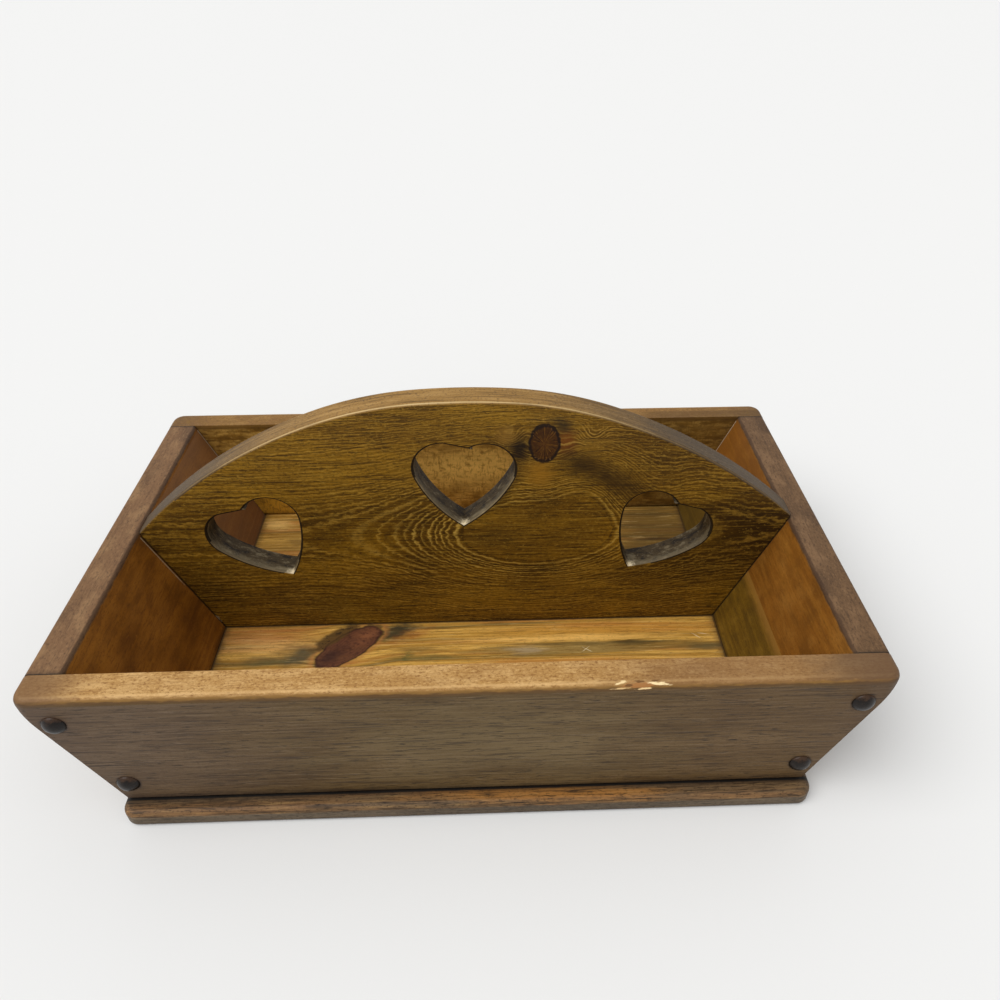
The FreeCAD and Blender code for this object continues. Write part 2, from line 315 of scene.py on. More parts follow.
def ragged_ramp(place, value, start, full, reach=0.0, grit=(7, 3, 3)):
    """A mask that grows from 0 to 1 as a value goes from start to full, with a ragged border, for wear,
    stain and painted shade alike.
    """
    if reach:
        noise = stretched_noise(place, grit, detail=4.0, roughness=0.6, shift=5.0, reach=reach)
        value = add("Math", {0: value, 1: noise}, operation="ADD")
    return add("MapRange", {0: value, 1: start, 2: full}, interpolation_type="SMOOTHSTEP")


def dark_dashes(place, lengths=(9, 0.8, 0.8), least=0.56, most=0.7, shift=0.0):
    """Short dark dashes along the grain, where stain has filled open pores and scratches."""
    noise = stretched_noise(place, lengths, detail=3.0, roughness=0.6, shift=shift)
    return add("MapRange", {0: noise, 1: least, 2: most}, interpolation_type="SMOOTHSTEP")


def overlap(*masks):
    """Where all of these masks lie over each other."""
    shared = masks[0]
    for mask in masks[1:]:
        shared = add("Math", {0: shared, 1: mask}, operation="MULTIPLY")
    return shared


def patch_layers(place, rows):
    """Layers of colour for soft patches, of stain and of painted shade.

    A row is tone, strength, x, z, half length and half height in mm, and where they are needed turn
    in degrees, raggedness, softness and the size of the ragged bits in mm.
    """
    return [(tone, strength, patch(place, (x, z), (length, height), *border))
            for tone, strength, x, z, length, height, *border in rows]


def thin_line(place, value, seam, width=0.9, reach=0.25):
    """A thin mask on both sides of a seam, where a value is within a width of the seam's, in mm: a joint,
    or the rim's painted highlight line.
    """
    away = add("Math", {0: value, 1: seam}, operation="SUBTRACT")
    distance = add("Math", {0: away}, operation="ABSOLUTE")
    return ragged_ramp(place, distance, width, width * 0.35, reach=reach, grit=(5, 1.5, 1.5))


# %% [markdown]
# ## Sizes
#
# The boards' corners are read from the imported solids, so that each dressed board sits where its solid
# does.  Only what a box can't tell is written down: the splay, the thickness of the ends and the two
# tips of the arch.

# %% Sizes read from the frame
def node_box_mm(name):
    """Lowest and highest corner of a CAD node in mm."""
    low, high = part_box(name)
    return [value / MM for value in low], [value / MM for value in high]


base_low, base_high = node_box_mm("base_board")
panel_low, panel_high = node_box_mm("front_panel")
back_low, back_high = node_box_mm("back_panel")
handle_low, handle_high = node_box_mm("divider_handle")
left_low, left_high = node_box_mm("left_end_board")
seam_high = node_box_mm("right_end_lower_board")[1][2]

SPLAY_DEGREES = 22
SPLAY = math.radians(SPLAY_DEGREES)
BASE_TOP = base_high[2]
RIM = panel_high[2]
RIM_LENGTH = 496.5
END_SETBACK = 0.6           # rim's ends to the end boards' outer faces
END_BOARD = 20.0            # thickness of the end boards
CROWN = handle_high[2]
LEFT_TIP = RIM - 1.0        # the arch was sawn by hand, and its tips differ
RIGHT_TIP = RIM + 3.0
SIDE_OUTER = -panel_low[1]
SIDE_REACH = left_high[1]   # middle to the ends of the end boards


def end_outer(height):
    """Distance from the middle to the outer face of an end board at a height, mm."""
    return RIM_LENGTH / 2 - (RIM - height) * math.tan(SPLAY) - END_SETBACK


def end_inner(height):
    """Distance from the middle to the inner face of an end board at a height, mm."""
    return end_outer(height) - END_BOARD / math.cos(SPLAY)


print("base", base_low, base_high, "rim", RIM, "seam", seam_high, "handle", handle_low, handle_high)
print("half width inside", panel_high[1], " inner half length at the rim", round(end_inner(RIM), 2))

# %% [markdown]
# ## The handle board's finish
#
# The handle board is flat-sawn: its pith lay behind the face, a little right of the middle, so long
# ovals show there, with fine wavering lines all round.  The stain is a dark olive brown.  A branch
# left a dark-rimmed knot near the crown, with smoky patches on both sides of it, and stain has
# gathered grey on the sawn edges.
# Painted shade darkens the right part of the face, the lips of the cut-outs that turn from the light and
# the arch edge towards its tips, where a painted reflection greys it too, and a painted highlight sits at
# the tip of each cut-out.

# %% Handle board finish
MARKS = ("saw_cut", "arch_edge", "worn", "lip_painted_shade")  # marked on the board's faces further on
PALEST_ARCH = -24.0         # where the edge of the arch is palest, along the board, mm
KNOT = (52.2, 176.6)        # middle of the knot, mm
KNOT_SIZE = (10.2, 15.0)    # half its width and height, mm
KNOT_BANDS = 8.0            # light and dark bands from its middle to its edge


def knot_layers(place, colour):
    """Draw the knot: rings, cracks that run out from its middle, and bark round it."""
    reach, turned = ellipse_reach(place, KNOT, KNOT_SIZE)
    wobble = stretched_noise(place, (4.0, 4.0, 4.0), detail=4.0, shift=1.0, reach=0.07)
    reach = add("Math", {0: reach, 1: wobble}, operation="ADD")
    rings = add("Math", {0: reach, 1: KNOT_BANDS}, operation="MULTIPLY")
    ring_wave = add("Math", {0: rings, 1: 1.0}, operation="PINGPONG")
    x = add("SeparateXYZ", {0: turned}, out=0)
    z = add("SeparateXYZ", {0: turned}, out=2)
    angle = add("Math", {0: z, 1: x}, operation="ARCTAN2")
    spokes = add("CombineXYZ", {0: angle, 1: reach})
    ray = stretched_noise(spokes, (0.13, 0.9, 1.0), detail=3.0, roughness=0.6)
    inside = add("MapRange", {0: reach, 1: 0.96, 2: 0.86})
    bark_in = add("MapRange", {0: reach, 1: 0.78, 2: 0.9}, interpolation_type="SMOOTHSTEP")
    bark_out = add("MapRange", {0: reach, 1: 1.08, 2: 0.98}, interpolation_type="SMOOTHSTEP")
    fleck = stretched_noise(place, (1.5, 1.5, 1.5), detail=2.0, shift=8.0)
    fleck_ring = overlap(bark_in, inside)
    flecks = add("MapRange", {0: fleck, 1: 0.62, 2: 0.7})
    cracks = add("MapRange", {0: ray, 1: 0.44, 2: 0.36})
    return colour_layers(colour, [
        ("402404", 0.95, inside),
        ("5c380a", 0.75, overlap(inside, patch(place, (52.6, 177), (6, 9)))),
        ("3a1a08", 0.5, overlap(ring_wave, inside)),
        ("946420", 0.55, overlap(inside, add("MapRange", {0: ray, 1: 0.55, 2: 0.66}))),
        ("1c0c05", 0.85, overlap(cracks, inside)),
        ("180b06", 0.95, overlap(bark_in, bark_out)),
        ("a87a48", 0.7, overlap(flecks, fleck_ring)),
    ])


# Soft patches: tone, strength, x, z, half length, half height, turn, raggedness, softness.
HANDLE_TONES = [
    ("946b12", 0.65, -80, 155, 125, 44),
    ("8a640f", 0.6, -10, 36, 190, 24),
    # This patch and the next darken the right part of the board: painted shade.
    ("2c1802", 0.95, 215, 96, 96, 70),
    ("3c2404", 0.6, 130, 163, 60, 32),
    ("a47410", 0.7, 122, 98, 46, 42),
    ("8a640f", 0.4, 0, 196, 90, 16),
    ("442c05", 0.45, -190, 60, 50, 60),
]

AROUND_KNOT = [
    ("9c6c18", 0.65, 50, 152, 13, 20, 8, 0.2),
    ("8a6424", 0.6, 27, 184, 9, 10, 0, 0.2, 0.8),
    ("6e3a0e", 0.8, 66, 178, 11, 17, 0, 0.2),
]

SMOKE = [
    ("1a0f04", 0.95, 36, 172.5, 11, 13, -20, 0.25, 0.9),
    ("231c0e", 0.8, 63.5, 190, 13, 9, -24, 0.25),
    ("231504", 0.8, 76, 159, 26, 15, -30, 0.2),
    ("2c1b06", 0.8, 99, 146, 44, 17, -36, 0.15),
    ("241704", 0.85, 22, 141, 36, 15, 62, 0.15),
]


def handle_finish():
    """Olive brown face, a tone each for the sawn walls, the arch edge and the worn lips, and painted shade
    and highlight.
    """
    material, tree = new_finish("pine_olive_stain_handle")
    place = board_place(tree)
    x, y, z = [add("SeparateXYZ", {0: place}, out=axis) for axis in range(3)]
    warped = part_round_knot(place, KNOT, (38, 30), strength=0.85)
    warped = slant_rings(warped, (106, 138), (56, 50), slope=-0.8)
    warped = slant_rings(warped, (20, 150), (34, 30), slope=0.35)
    rings = ring_count(warped, pith=(49.0, 101.0, 24.0, 40.0, 80.0), ring=2.6,
                       slow=(90, 30, 26), slow_reach=2.2, fine=(6, 7, 3.5), fine_reach=0.6,
                       swirls=[(KNOT, (36, 26), 5.0), ((84, 181), (13, 16), 7.0),
                               ((29, 181), (12, 11), 6.0)], narrowing=0.001, plain=31.2)
    presence = stretched_noise(place, (46, 20, 15), detail=3.0, shift=19.0)
    patchy = add("MapRange", {0: presence, 1: 0.38, 2: 0.56, 3: 0.5})
    round_eye = patch(place, (60, 100), (85, 44))
    showing = add("Math", {0: patchy, 1: round_eye}, operation="MAXIMUM")
    pale_line, dark_line = [overlap(line, showing) for line in growth_lines(rings)]
    cloud, fibre, flecks = [stretched_noise(place, *grain) for grain in (
        ((60, 40, 26), 3.0, 0.5, 2.0), ((34, 0.9, 0.9), 4.0, 0.6, 7.0),
        ((2.4, 1.2, 1.3), 3.0, 0.7, 4.0))]
    dashes = dark_dashes(place, lengths=(11, 0.8, 0.8), least=0.55, most=0.66)
    eye = patch(place, (20, 100), (165, 70))

    colour = colour_layers("6f4c08", [
        ("8c640e", 0.75, cloud, 0.46, 0.66),
        ("4a3004", 0.7, cloud, 0.5, 0.3),
        *patch_layers(place, HANDLE_TONES),
        ("2c1b03", 0.62, dark_line),
        ("2f1d04", 0.45, overlap(dark_line, eye)),
        ("b48a34", 0.62, pale_line),
        ("dab454", 0.85, overlap(pale_line, eye)),
        ("382304", 0.8, fibre, 0.48, 0.34),
        ("a27c28", 0.6, fibre, 0.55, 0.66),
        ("261802", 0.6, dashes),
        ("241705", 0.5, flecks, 0.46, 0.35),
        ("c09a40", 0.3, flecks, 0.57, 0.68),
        *patch_layers(place, AROUND_KNOT),
        ("b08c40", 0.6, overlap(pale_line, patch(place, (60, 181), (52, 24), soft=0.6))),
        *patch_layers(place, SMOKE),
    ])
    colour = knot_layers(place, colour)

    saw_cut, arch_edge, worn, lip_painted_shade = [
        add("Attribute", {}, tree=tree, out=2, attribute_name=mark) for mark in MARKS]
    saw_noise, smear = [stretched_noise(place, *grain) for grain in (
        ((1.8, 1.3, 1.8), 4.0, 0.7), ((9, 5, 9), 3.0, 0.5, 6.0))]
    from_middle = add("Math", {0: x}, operation="ABSOLUTE")
    off_palest = add("Math", {0: x, 1: -PALEST_ARCH}, operation="ADD")
    from_palest = add("Math", {0: off_palest}, operation="ABSOLUTE")
    # The arch edge greys and darkens towards both tips: painted shade and painted reflection.
    tip_painted_shade = ragged_ramp(place, from_palest, 50.0, 180.0, reach=14.0, grit=(30, 9, 30))
    streak = stretched_noise(place, (46, 2.2, 30), detail=4.0, roughness=0.6, shift=5.0)
    arch_tone = colour_layers("94703a", [
        ("b89258", 0.5, streak, 0.5, 0.64),
        ("4f381c", 0.6, streak, 0.48, 0.34),
        ("3d342a", 0.85, tip_painted_shade),
        ("33241a", 0.65, saw_noise, 0.48, 0.33),
        ("b09a78", 0.5, saw_noise, 0.6, 0.72),
    ])
    cut_tone = colour_layers("43351f", [
        ("1a120a", 0.85, smear, 0.5, 0.36),
        ("7a6c52", 0.7, smear, 0.54, 0.7),
        ("1c140a", 0.55, saw_noise, 0.47, 0.34),
        ("8e8068", 0.45, saw_noise, 0.56, 0.7),
        ("0c0a06", 0.85, patch(place, (-182, 104), (9, 14), ragged=0.2)),
        ("8a7c60", 0.34, ragged_ramp(place, y, handle_low[1] + 7, handle_low[1] + 2, reach=3.0,
                                   grit=(6, 3, 6))),
    ])
    worn_tone = colour_layers("c8a468", [
        ("54422c", 0.9, tip_painted_shade),
        ("5c4220", 0.5, streak, 0.48, 0.34),
        ("ecd9ac", 0.6, overlap(streak, add("Math", {0: 1.0, 1: tip_painted_shade},
                                            operation="SUBTRACT"))),
    ])
    colour = colour_layers(colour, [
        (arch_tone, 1, arch_edge),
        (cut_tone, 1, saw_cut),
        (worn_tone, 1, worn),
        # painted shade on the rounded lips of the cut-outs that turn away from the light
        ("140d05", 0.93, lip_painted_shade),
    ])
    # A painted highlight at the tip of each cut-out, near the front face.
    at_front = ragged_ramp(place, y, handle_low[1] + 7, handle_low[1] + 1.5, reach=2.0,
                         grit=(2, 2, 2))
    for tip_x, tip_z, *_ in HEARTS.values():
        tip_highlight = patch(place, (tip_x, tip_z), (7.0, 6.0), ragged=0.25, soft=0.7, grit=(2, 2, 2))
        colour = colour_layers(colour, [("e6d4b0", 0.95, overlap(tip_highlight, saw_cut, at_front))])

    foot_line = thin_line(place, z, BASE_TOP, width=1.3)
    along = add("Math", {0: z, 1: -math.tan(SPLAY), 2: from_middle}, operation="MULTIPLY_ADD")
    end_line = thin_line(place, along, end_inner(0), width=1.6)
    glue_blob = patch(place, (-192.5, 21.5), (4.0, 4.5), ragged=0.5, soft=0.4, grit=(2, 2, 2))
    colour = colour_layers(colour, [
        ("120b05", 0.85, foot_line),
        ("1c1208", 0.8, end_line),
        ("a89c84", 0.5, glue_blob),
    ])
    relief = colour_layers("808080", [
        ("ffffff", 0.4, pale_line),
        ("000000", 0.4, dashes),
        ("000000", 0.3, flecks, 0.48, 0.34),
    ])
    varnished(colour, relief, relief_mm=0.3, shine=0.22)
    return material


# %% [markdown]
# ## The handle board
#
# The board is drawn as a flat outline with three holes, like a paper pattern, and the outline is
# given thickness and an eased edge.  A filled curve does all of that at once, and eases the edges of
# the cut-outs too.  The pattern runs past the ends and the foot, and a straight cut then trims each
# of them, as a saw would, so the trimmed ends stay sharp where they meet the tray.
#
# Boards are modelled the way they are made: a block is added at its size, sawn to its angles in edit
# mode, and its edges are eased with bevels.  Edges and faces are picked in code, by their place.

# %% Picking and finishing helpers
def let_go():
    """Deselect every object, because an operator acts on all that is selected."""
    for other in bpy.context.selected_objects:
        other.select_set(False)


def only(piece):
    """Make a piece the one selected and active object."""
    let_go()
    piece.select_set(True)
    bpy.context.view_layer.objects.active = piece


def pick(kind, test):
    """In edit mode, select just the vertices, edges or faces that pass a test.

    The test gets the middle point in mm and the item, and the number picked is returned.
    """
    bpy.ops.mesh.select_mode(type=kind)
    bpy.ops.mesh.select_all(action="DESELECT")
    mesh = bpy.context.edit_object.data
    shape = bmesh.from_edit_mesh(mesh)
    count = 0
    for item in {"VERT": shape.verts, "EDGE": shape.edges, "FACE": shape.faces}[kind]:
        if kind == "VERT":
            middle = item.co / MM
        elif kind == "EDGE":
            middle = (item.verts[0].co + item.verts[1].co) / 2 / MM
        else:
            middle = item.calc_center_median() / MM
        if test(middle, item):
            item.select_set(True)
            count += 1
    shape.select_flush_mode()
    bmesh.update_edit_mesh(mesh)
    return count


def block(name, low, high):
    """A block between two corners in mm, open for editing."""
    middle = [(a + b) / 2 * MM for a, b in zip(low, high)]
    size = [(b - a) * MM for a, b in zip(low, high)]
    let_go()
    bpy.ops.mesh.primitive_cube_add(size=1, location=middle, scale=size)
    piece = bpy.context.active_object
    piece.name = name
    piece.data.name = name
    bpy.ops.object.transform_apply(location=True, rotation=True, scale=True)
    bpy.ops.object.mode_set(mode="EDIT")
    return piece


def ease(width, segments):
    """Bevel the selected edges by a width in mm."""
    bpy.ops.mesh.bevel(offset=width * MM, segments=segments, affect="EDGES", clamp_overlap=True)


def saw(point_mm, normal):
    """Cut everything with a plane, remove the side the normal points to and close the cut."""
    bpy.ops.mesh.select_mode(type="VERT")
    bpy.ops.mesh.select_all(action="SELECT")
    bpy.ops.mesh.bisect(plane_co=[value * MM for value in point_mm], plane_no=normal,
                        use_fill=True, clear_outer=True, clear_inner=False)


def finish_piece(piece, material, node, smooth_angle=40):
    """Leave edit mode, smooth the eased edges, give the finish and tie the piece to the frame."""
    if bpy.context.mode != "OBJECT":
        bpy.ops.object.mode_set(mode="OBJECT")
    only(piece)
    bpy.ops.object.shade_smooth_by_angle(angle=math.radians(smooth_angle))
    weights = piece.modifiers.new("flat faces first", "WEIGHTED_NORMAL")
    weights.keep_sharp = True
    bpy.ops.object.modifier_apply(modifier=weights.name)
    piece.data.materials.clear()
    piece.data.materials.append(material)
    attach(piece, "root")
    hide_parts(node)
    corners = [Vector(corner) / MM for corner in piece.bound_box]
    low, high = [[round(end(corner[axis] for corner in corners), 2) for axis in range(3)]
                 for end in (min, max)]
    print(f"{piece.name}: {len(piece.data.polygons)} faces, {low} to {high}")


# %% Outline of the handle board
CROWN_RADIUS, CROWN_REACH = 430.0, 30.0     # nearly flat at the crown
HAUNCH_RADIUS, HAUNCH_REACH = 240.0, 100.0  # tighter over the haunches
ARCH_STEP, HEART_STEP = 3.0, 2.0            # between two points of an outline, mm
PAST_TIP = 1.04                             # how far the last arc runs on, to be trimmed


def arc_points(centre, radius, start, finish, step):
    """Points (x, z) along an arc, angles in radians clockwise from straight up."""
    count = max(2, round(abs(finish - start) * radius / step))
    angles = [start + (finish - start) * index / count for index in range(count + 1)]
    return [(centre[0] + radius * math.sin(angle), centre[1] + radius * math.cos(angle))
            for angle in angles]


def half_arch(tip_height):
    """The right half of the arch down to a tip and a little beyond it, in mm."""
    crown_angle = math.asin(CROWN_REACH / CROWN_RADIUS)
    crown_centre = (0.0, CROWN - CROWN_RADIUS)
    crown = arc_points(crown_centre, CROWN_RADIUS, 0, crown_angle, ARCH_STEP)
    gap = CROWN_RADIUS - HAUNCH_RADIUS
    haunch_centre = (crown_centre[0] + gap * math.sin(crown_angle),
                     crown_centre[1] + gap * math.cos(crown_angle))
    haunch_angle = math.asin((HAUNCH_REACH - haunch_centre[0]) / HAUNCH_RADIUS)
    haunch = arc_points(haunch_centre, HAUNCH_RADIUS, crown_angle, haunch_angle, ARCH_STEP)
    start = haunch[-1]
    tip = (end_inner(tip_height), tip_height)
    chord = (tip[0] - start[0], tip[1] - start[1])
    inward = (-math.sin(haunch_angle), -math.cos(haunch_angle))
    radius = (chord[0] ** 2 + chord[1] ** 2) / (2 * (chord[0] * inward[0] + chord[1] * inward[1]))
    centre = (start[0] + radius * inward[0], start[1] + radius * inward[1])
    tip_angle = math.asin((tip[0] - centre[0]) / radius)
    shoulder = arc_points(centre, radius, haunch_angle, tip_angle * PAST_TIP, ARCH_STEP)
    return crown + haunch[1:] + shoulder[1:]


left_half = [(-x, z) for x, z in reversed(half_arch(LEFT_TIP)[1:])]
ARCH = left_half + half_arch(RIGHT_TIP)


def arch_height(x):
    """Height of the arch over a place along the board, mm."""
    for (x1, z1), (x2, z2) in zip(ARCH, ARCH[1:]):
        if x1 <= x <= x2:
            return z1 + (z2 - z1) * (x - x1) / (x2 - x1)
    return RIM


print("arch points", len(ARCH), " crown", round(arch_height(0), 2))


# %% [markdown]
# Each cut-out is two round lobes that run into two long side curves, sawn from one template.  The
# cleft is off centre, and the template was turned over for the right one.

# %% Outline of a heart
HEART_WIDTH, HEART_HEIGHT = 70.0, 70.5      # sizes in mm
LOBE_RADIUS, SIDE_RADIUS = 21.0, 95.5
CLEFT_DEPTH, CLEFT_SHIFT = 4.2, 5.0
CLEFT_ANGLE = math.radians(-30)     # where the right lobe stops, from its top
OVER_CENTRE = 30.5                  # wood left over the middle heart
CENTRE_TIP_HEIGHT = CROWN - OVER_CENTRE - HEART_HEIGHT
SIDE_TIP_HEIGHT = BASE_TOP + 53.0
LEFT_TIP_IN, RIGHT_TIP_IN = 82.0, 93.0      # from the end boards to the outer tips

HEARTS = {                  # tip x, tip z, tilt in degrees, template turned over
    "centre": (-2.3, CENTRE_TIP_HEIGHT, 2.5, False),
    "left": (LEFT_TIP_IN - end_inner(SIDE_TIP_HEIGHT), SIDE_TIP_HEIGHT, -24.8, False),
    "right": (end_inner(SIDE_TIP_HEIGHT) - RIGHT_TIP_IN, SIDE_TIP_HEIGHT, 29.8, True),
}


def heart_points(tip_x, tip_z, tilt, flipped, inset=0.0):
    """Points (x, z) in mm round a heart, or round a smaller one that lies inset inside it."""
    lobe_height = HEART_HEIGHT - LOBE_RADIUS
    lobe_reach = HEART_WIDTH / 2 - LOBE_RADIUS
    reach = math.hypot(lobe_reach, lobe_height)
    gap = SIDE_RADIUS - LOBE_RADIUS
    along = (SIDE_RADIUS ** 2 - gap ** 2 + reach ** 2) / (2 * reach)
    across = math.sqrt(SIDE_RADIUS ** 2 - along ** 2)
    toward = (lobe_reach / reach, lobe_height / reach)
    side = (toward[0] * along - toward[1] * across, toward[1] * along + toward[0] * across)
    meet = math.atan2(lobe_reach - side[0], lobe_height - side[1])
    side_radius, lobe_radius = SIDE_RADIUS - inset, LOBE_RADIUS - inset
    tip = math.pi - math.asin(-side[0] / side_radius)
    lobe = (lobe_reach, lobe_height)
    long_side = arc_points(side, side_radius, tip, meet, HEART_STEP)
    right = long_side + arc_points(lobe, lobe_radius, meet, CLEFT_ANGLE, HEART_STEP)[1:]
    left = long_side + arc_points(lobe, lobe_radius, meet, 0, HEART_STEP)[1:]
    cleft = (CLEFT_SHIFT, HEART_HEIGHT - CLEFT_DEPTH - inset)
    outline = right + [cleft] + [(-x, z) for x, z in reversed(left[1:])]
    turned = math.radians(tilt)
    mirror = -1 if flipped else 1
    return [(tip_x + mirror * x * math.cos(turned) + z * math.sin(turned),
             tip_z - mirror * x * math.sin(turned) + z * math.cos(turned)) for x, z in outline]


for name, heart in HEARTS.items():
    print("heart", name, [round(value, 1) for value in heart[:3]], len(heart_points(*heart)), "points")


# %% Handle board
HANDLE_EASE = 1.6           # radius of the eased edges, mm
NOSE_RADIUS = 4.0           # radius of the arch's two tips, mm
NOSE_REACH = 2.6            # how near a tip its edges are picked, mm
SAWN_OFF = (12, 6)          # how far the pattern runs past the ends and the foot, mm
HEART_MIDDLE, HEART_REACH = 42, 46      # tip of a heart to its middle, and middle to outline, mm
BOARD_FACE = 0.98           # a face that looks this straight along y is the front or the back
LIP_WORN, ARCH_WORN = 0.15, 0.7         # how bare the lips of the cut-outs and of the arch are


def handle_board():
    """The board with its three cut-outs, sawn to the tray, with its faces marked."""
    let_go()
    bpy.ops.curve.primitive_bezier_curve_add()
    pattern = bpy.context.active_object
    pattern.name = "handle_board"
    curve = pattern.data
    curve.splines.clear()
    curve.dimensions = "2D"
    curve.fill_mode = "BOTH"
    thickness = handle_high[1] - handle_low[1]
    curve.extrude = (thickness / 2 - HANDLE_EASE) * MM
    curve.bevel_depth = HANDLE_EASE * MM
    curve.bevel_resolution = 2
    curve.offset = -HANDLE_EASE * MM
    past_end, below_foot = end_inner(RIGHT_TIP) + SAWN_OFF[0], BASE_TOP - SAWN_OFF[1]
    outline = ARCH + [(past_end, below_foot), (-past_end, below_foot)]
    cuts = [heart_points(*heart, inset=HANDLE_EASE) for heart in HEARTS.values()]
    for points in [outline] + cuts:
        spline = curve.splines.new("POLY")
        spline.points.add(len(points) - 1)
        for spot, (x, z) in zip(spline.points, points):
            spot.co = (x * MM, z * MM, 0, 1)
        spline.use_cyclic_u = True
    pattern.rotation_euler = (math.radians(90), 0, 0)
    pattern.location = (0, (handle_low[1] + handle_high[1]) / 2 * MM, 0)
    only(pattern)
    bpy.ops.object.convert(target="MESH")
    board = bpy.context.active_object
    bpy.ops.object.transform_apply(location=True, rotation=True, scale=True)
    bpy.ops.object.mode_set(mode="EDIT")
    bpy.ops.mesh.select_all(action="SELECT")
    bpy.ops.mesh.remove_doubles(threshold=0.00001)
    saw((0, 0, BASE_TOP), (0, 0, -1))
    for end in (-1, 1):
        foot = (end * end_inner(BASE_TOP), 0, BASE_TOP)
        saw(foot, (end * math.cos(SPLAY), 0, -math.sin(SPLAY)))
    for tip_x, tip_z in ((-end_inner(LEFT_TIP), LEFT_TIP), (end_inner(RIGHT_TIP), RIGHT_TIP)):
        picked = pick("EDGE", lambda m, edge: math.hypot(m.x - tip_x, m.z - tip_z) < NOSE_REACH
                      and max(abs(face.normal.x) for face in edge.link_faces) > 0.9
                      and min(abs(face.normal.x) for face in edge.link_faces) < 0.8
                      and all(abs(face.normal.y) < BOARD_FACE for face in edge.link_faces))
        print("tip edges", picked)
        ease(NOSE_RADIUS, segments=4)
    bpy.ops.mesh.select_all(action="SELECT")
    bpy.ops.mesh.normals_make_consistent(inside=False)
    bpy.ops.object.mode_set(mode="OBJECT")
    mark_handle(board)
    return board


def mark_handle(board):
    """Mark the sawn walls of the cut-outs, the arch edge, the worn lips and the lips that get painted
    shade, face by face.
    """
    marks = {name: [] for name in MARKS}
    for face in board.data.polygons:
        x, _, z = [value / MM for value in face.center]
        turned = abs(face.normal.y) < BOARD_FACE
        on_arch = turned and z > arch_height(x) - 4 and face.normal.z > 0.2
        in_heart = turned and not on_arch and z > SIDE_TIP_HEIGHT - 3 and any(
            math.hypot(x - tip_x - HEART_MIDDLE * math.sin(math.radians(tilt)),
                       z - tip_z - HEART_MIDDLE * math.cos(math.radians(tilt))) < HEART_REACH
            for tip_x, tip_z, tilt, _ in HEARTS.values())
        front_lip = -0.95 < face.normal.y < -0.3
        lip_up = face.normal.z > 0.25
        marks["arch_edge"].append(1.0 if on_arch else 0.0)
        marks["saw_cut"].append(1.0 if in_heart and abs(face.normal.y) < 0.75 else 0.0)
        worn = LIP_WORN if in_heart and front_lip and lip_up else 0.0
        marks["worn"].append(ARCH_WORN if on_arch and front_lip else worn)
        rounded = -BOARD_FACE < face.normal.y < -0.05
        marks["lip_painted_shade"].append(1.0 if in_heart and rounded and not lip_up else 0.0)
    for name, values in marks.items():
        attribute = board.data.attributes.new(name, "FLOAT", "FACE")
        attribute.data.foreach_set("value", values)
    print({name: round(sum(values)) for name, values in marks.items()}, "faces marked")


handle_piece = handle_board()
finish_piece(handle_piece, handle_finish(), "divider_handle", smooth_angle=50)


# %% [markdown]
# ## Front and back panels
#
# The long sides are straight boards sawn to the splay at both ends.  Their outer top edge has a
# generous round and the corners are round in plan, so both cuts meet in a soft ball at each corner.
# The round is made by keeping only what lies inside a block whose own edges have been bevelled.

# %% Rim block and side panels
CORNER_RADIUS = 9.0         # round of the corners in plan, mm
RIM_ROUND = 4.5             # round of the rim's outer edge, mm
PANEL_EASE = 0.7            # the panels' other edges, mm
SPARE = 5.0                 # extra stock that is sawn off, mm
LENGTH_INSET, RIM_INSET = 0.05, 0.01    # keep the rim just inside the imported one, mm
SKIM = 0.005                # planed off the sawn rims for the same reason, mm


def rim_block():
    """A block as large as the rim, round at its plan corners and along its top edge."""
    half_length = RIM_LENGTH / 2 - LENGTH_INSET
    half_width = SIDE_OUTER - RIM_INSET
    cutter = block("rim_block", (-half_length, -half_width, 0), (half_length, half_width, RIM - RIM_INSET))
    pick("EDGE", lambda m, edge: abs(abs(m.x) - half_length) < 0.01
         and abs(abs(m.y) - half_width) < 0.01)
    ease(CORNER_RADIUS, segments=8)
    pick("EDGE", lambda m, edge: m.z > RIM - 0.1
         and all(face.normal.z < 0.5 or face.normal.z > 0.99 for face in edge.link_faces)
         and any(face.normal.z < 0.5 for face in edge.link_faces))
    ease(RIM_ROUND, segments=5)
    bpy.ops.object.mode_set(mode="OBJECT")
    return cutter


def side_panel(name, low, high):
    """A side panel between two corners, sawn to the splay and rounded with the rim."""
    half = RIM_LENGTH / 2
    panel = block(name, (-half - SPARE, low[1], low[2]), (half + SPARE, high[1], high[2] + SPARE))
    for end in (-1, 1):
        saw((end * half, 0, RIM), (end * math.cos(SPLAY), 0, -math.sin(SPLAY)))
    saw((0, 0, RIM - SKIM), (0, 0, 1))
    bpy.ops.object.mode_set(mode="OBJECT")
    cutter = rim_block()
    only(panel)
    keep = panel.modifiers.new("rounded rim", "BOOLEAN")
    keep.operation = "INTERSECT"
    keep.object = cutter
    bpy.ops.object.modifier_apply(modifier=keep.name)
    bpy.data.objects.remove(cutter)
    bpy.ops.object.mode_set(mode="EDIT")
    bpy.ops.mesh.select_all(action="SELECT")
    bpy.ops.mesh.remove_doubles(threshold=0.00002)
    picked = pick("EDGE", lambda m, edge: len(edge.link_faces) == 2
                  and edge.calc_face_angle() > math.radians(40))
    ease(PANEL_EASE, segments=2)
    foot = half - (RIM - low[2]) * math.tan(SPLAY)
    print(name, "foot half length", round(foot, 1), "edges eased", picked)
    return panel


# %% [markdown]
# The panels were stained grey-brown and then handled for years.  Their outer faces are dark, with
# short dashes where the stain sits in the pores.  On the rim the stain has rubbed off to golden
# wood, with a ragged border along the rounded edge.
# A thin painted highlight runs along the rim's round, and painted shade rings each plug and darkens the
# foot of the panels, with a black painted shadow line where they meet the base.

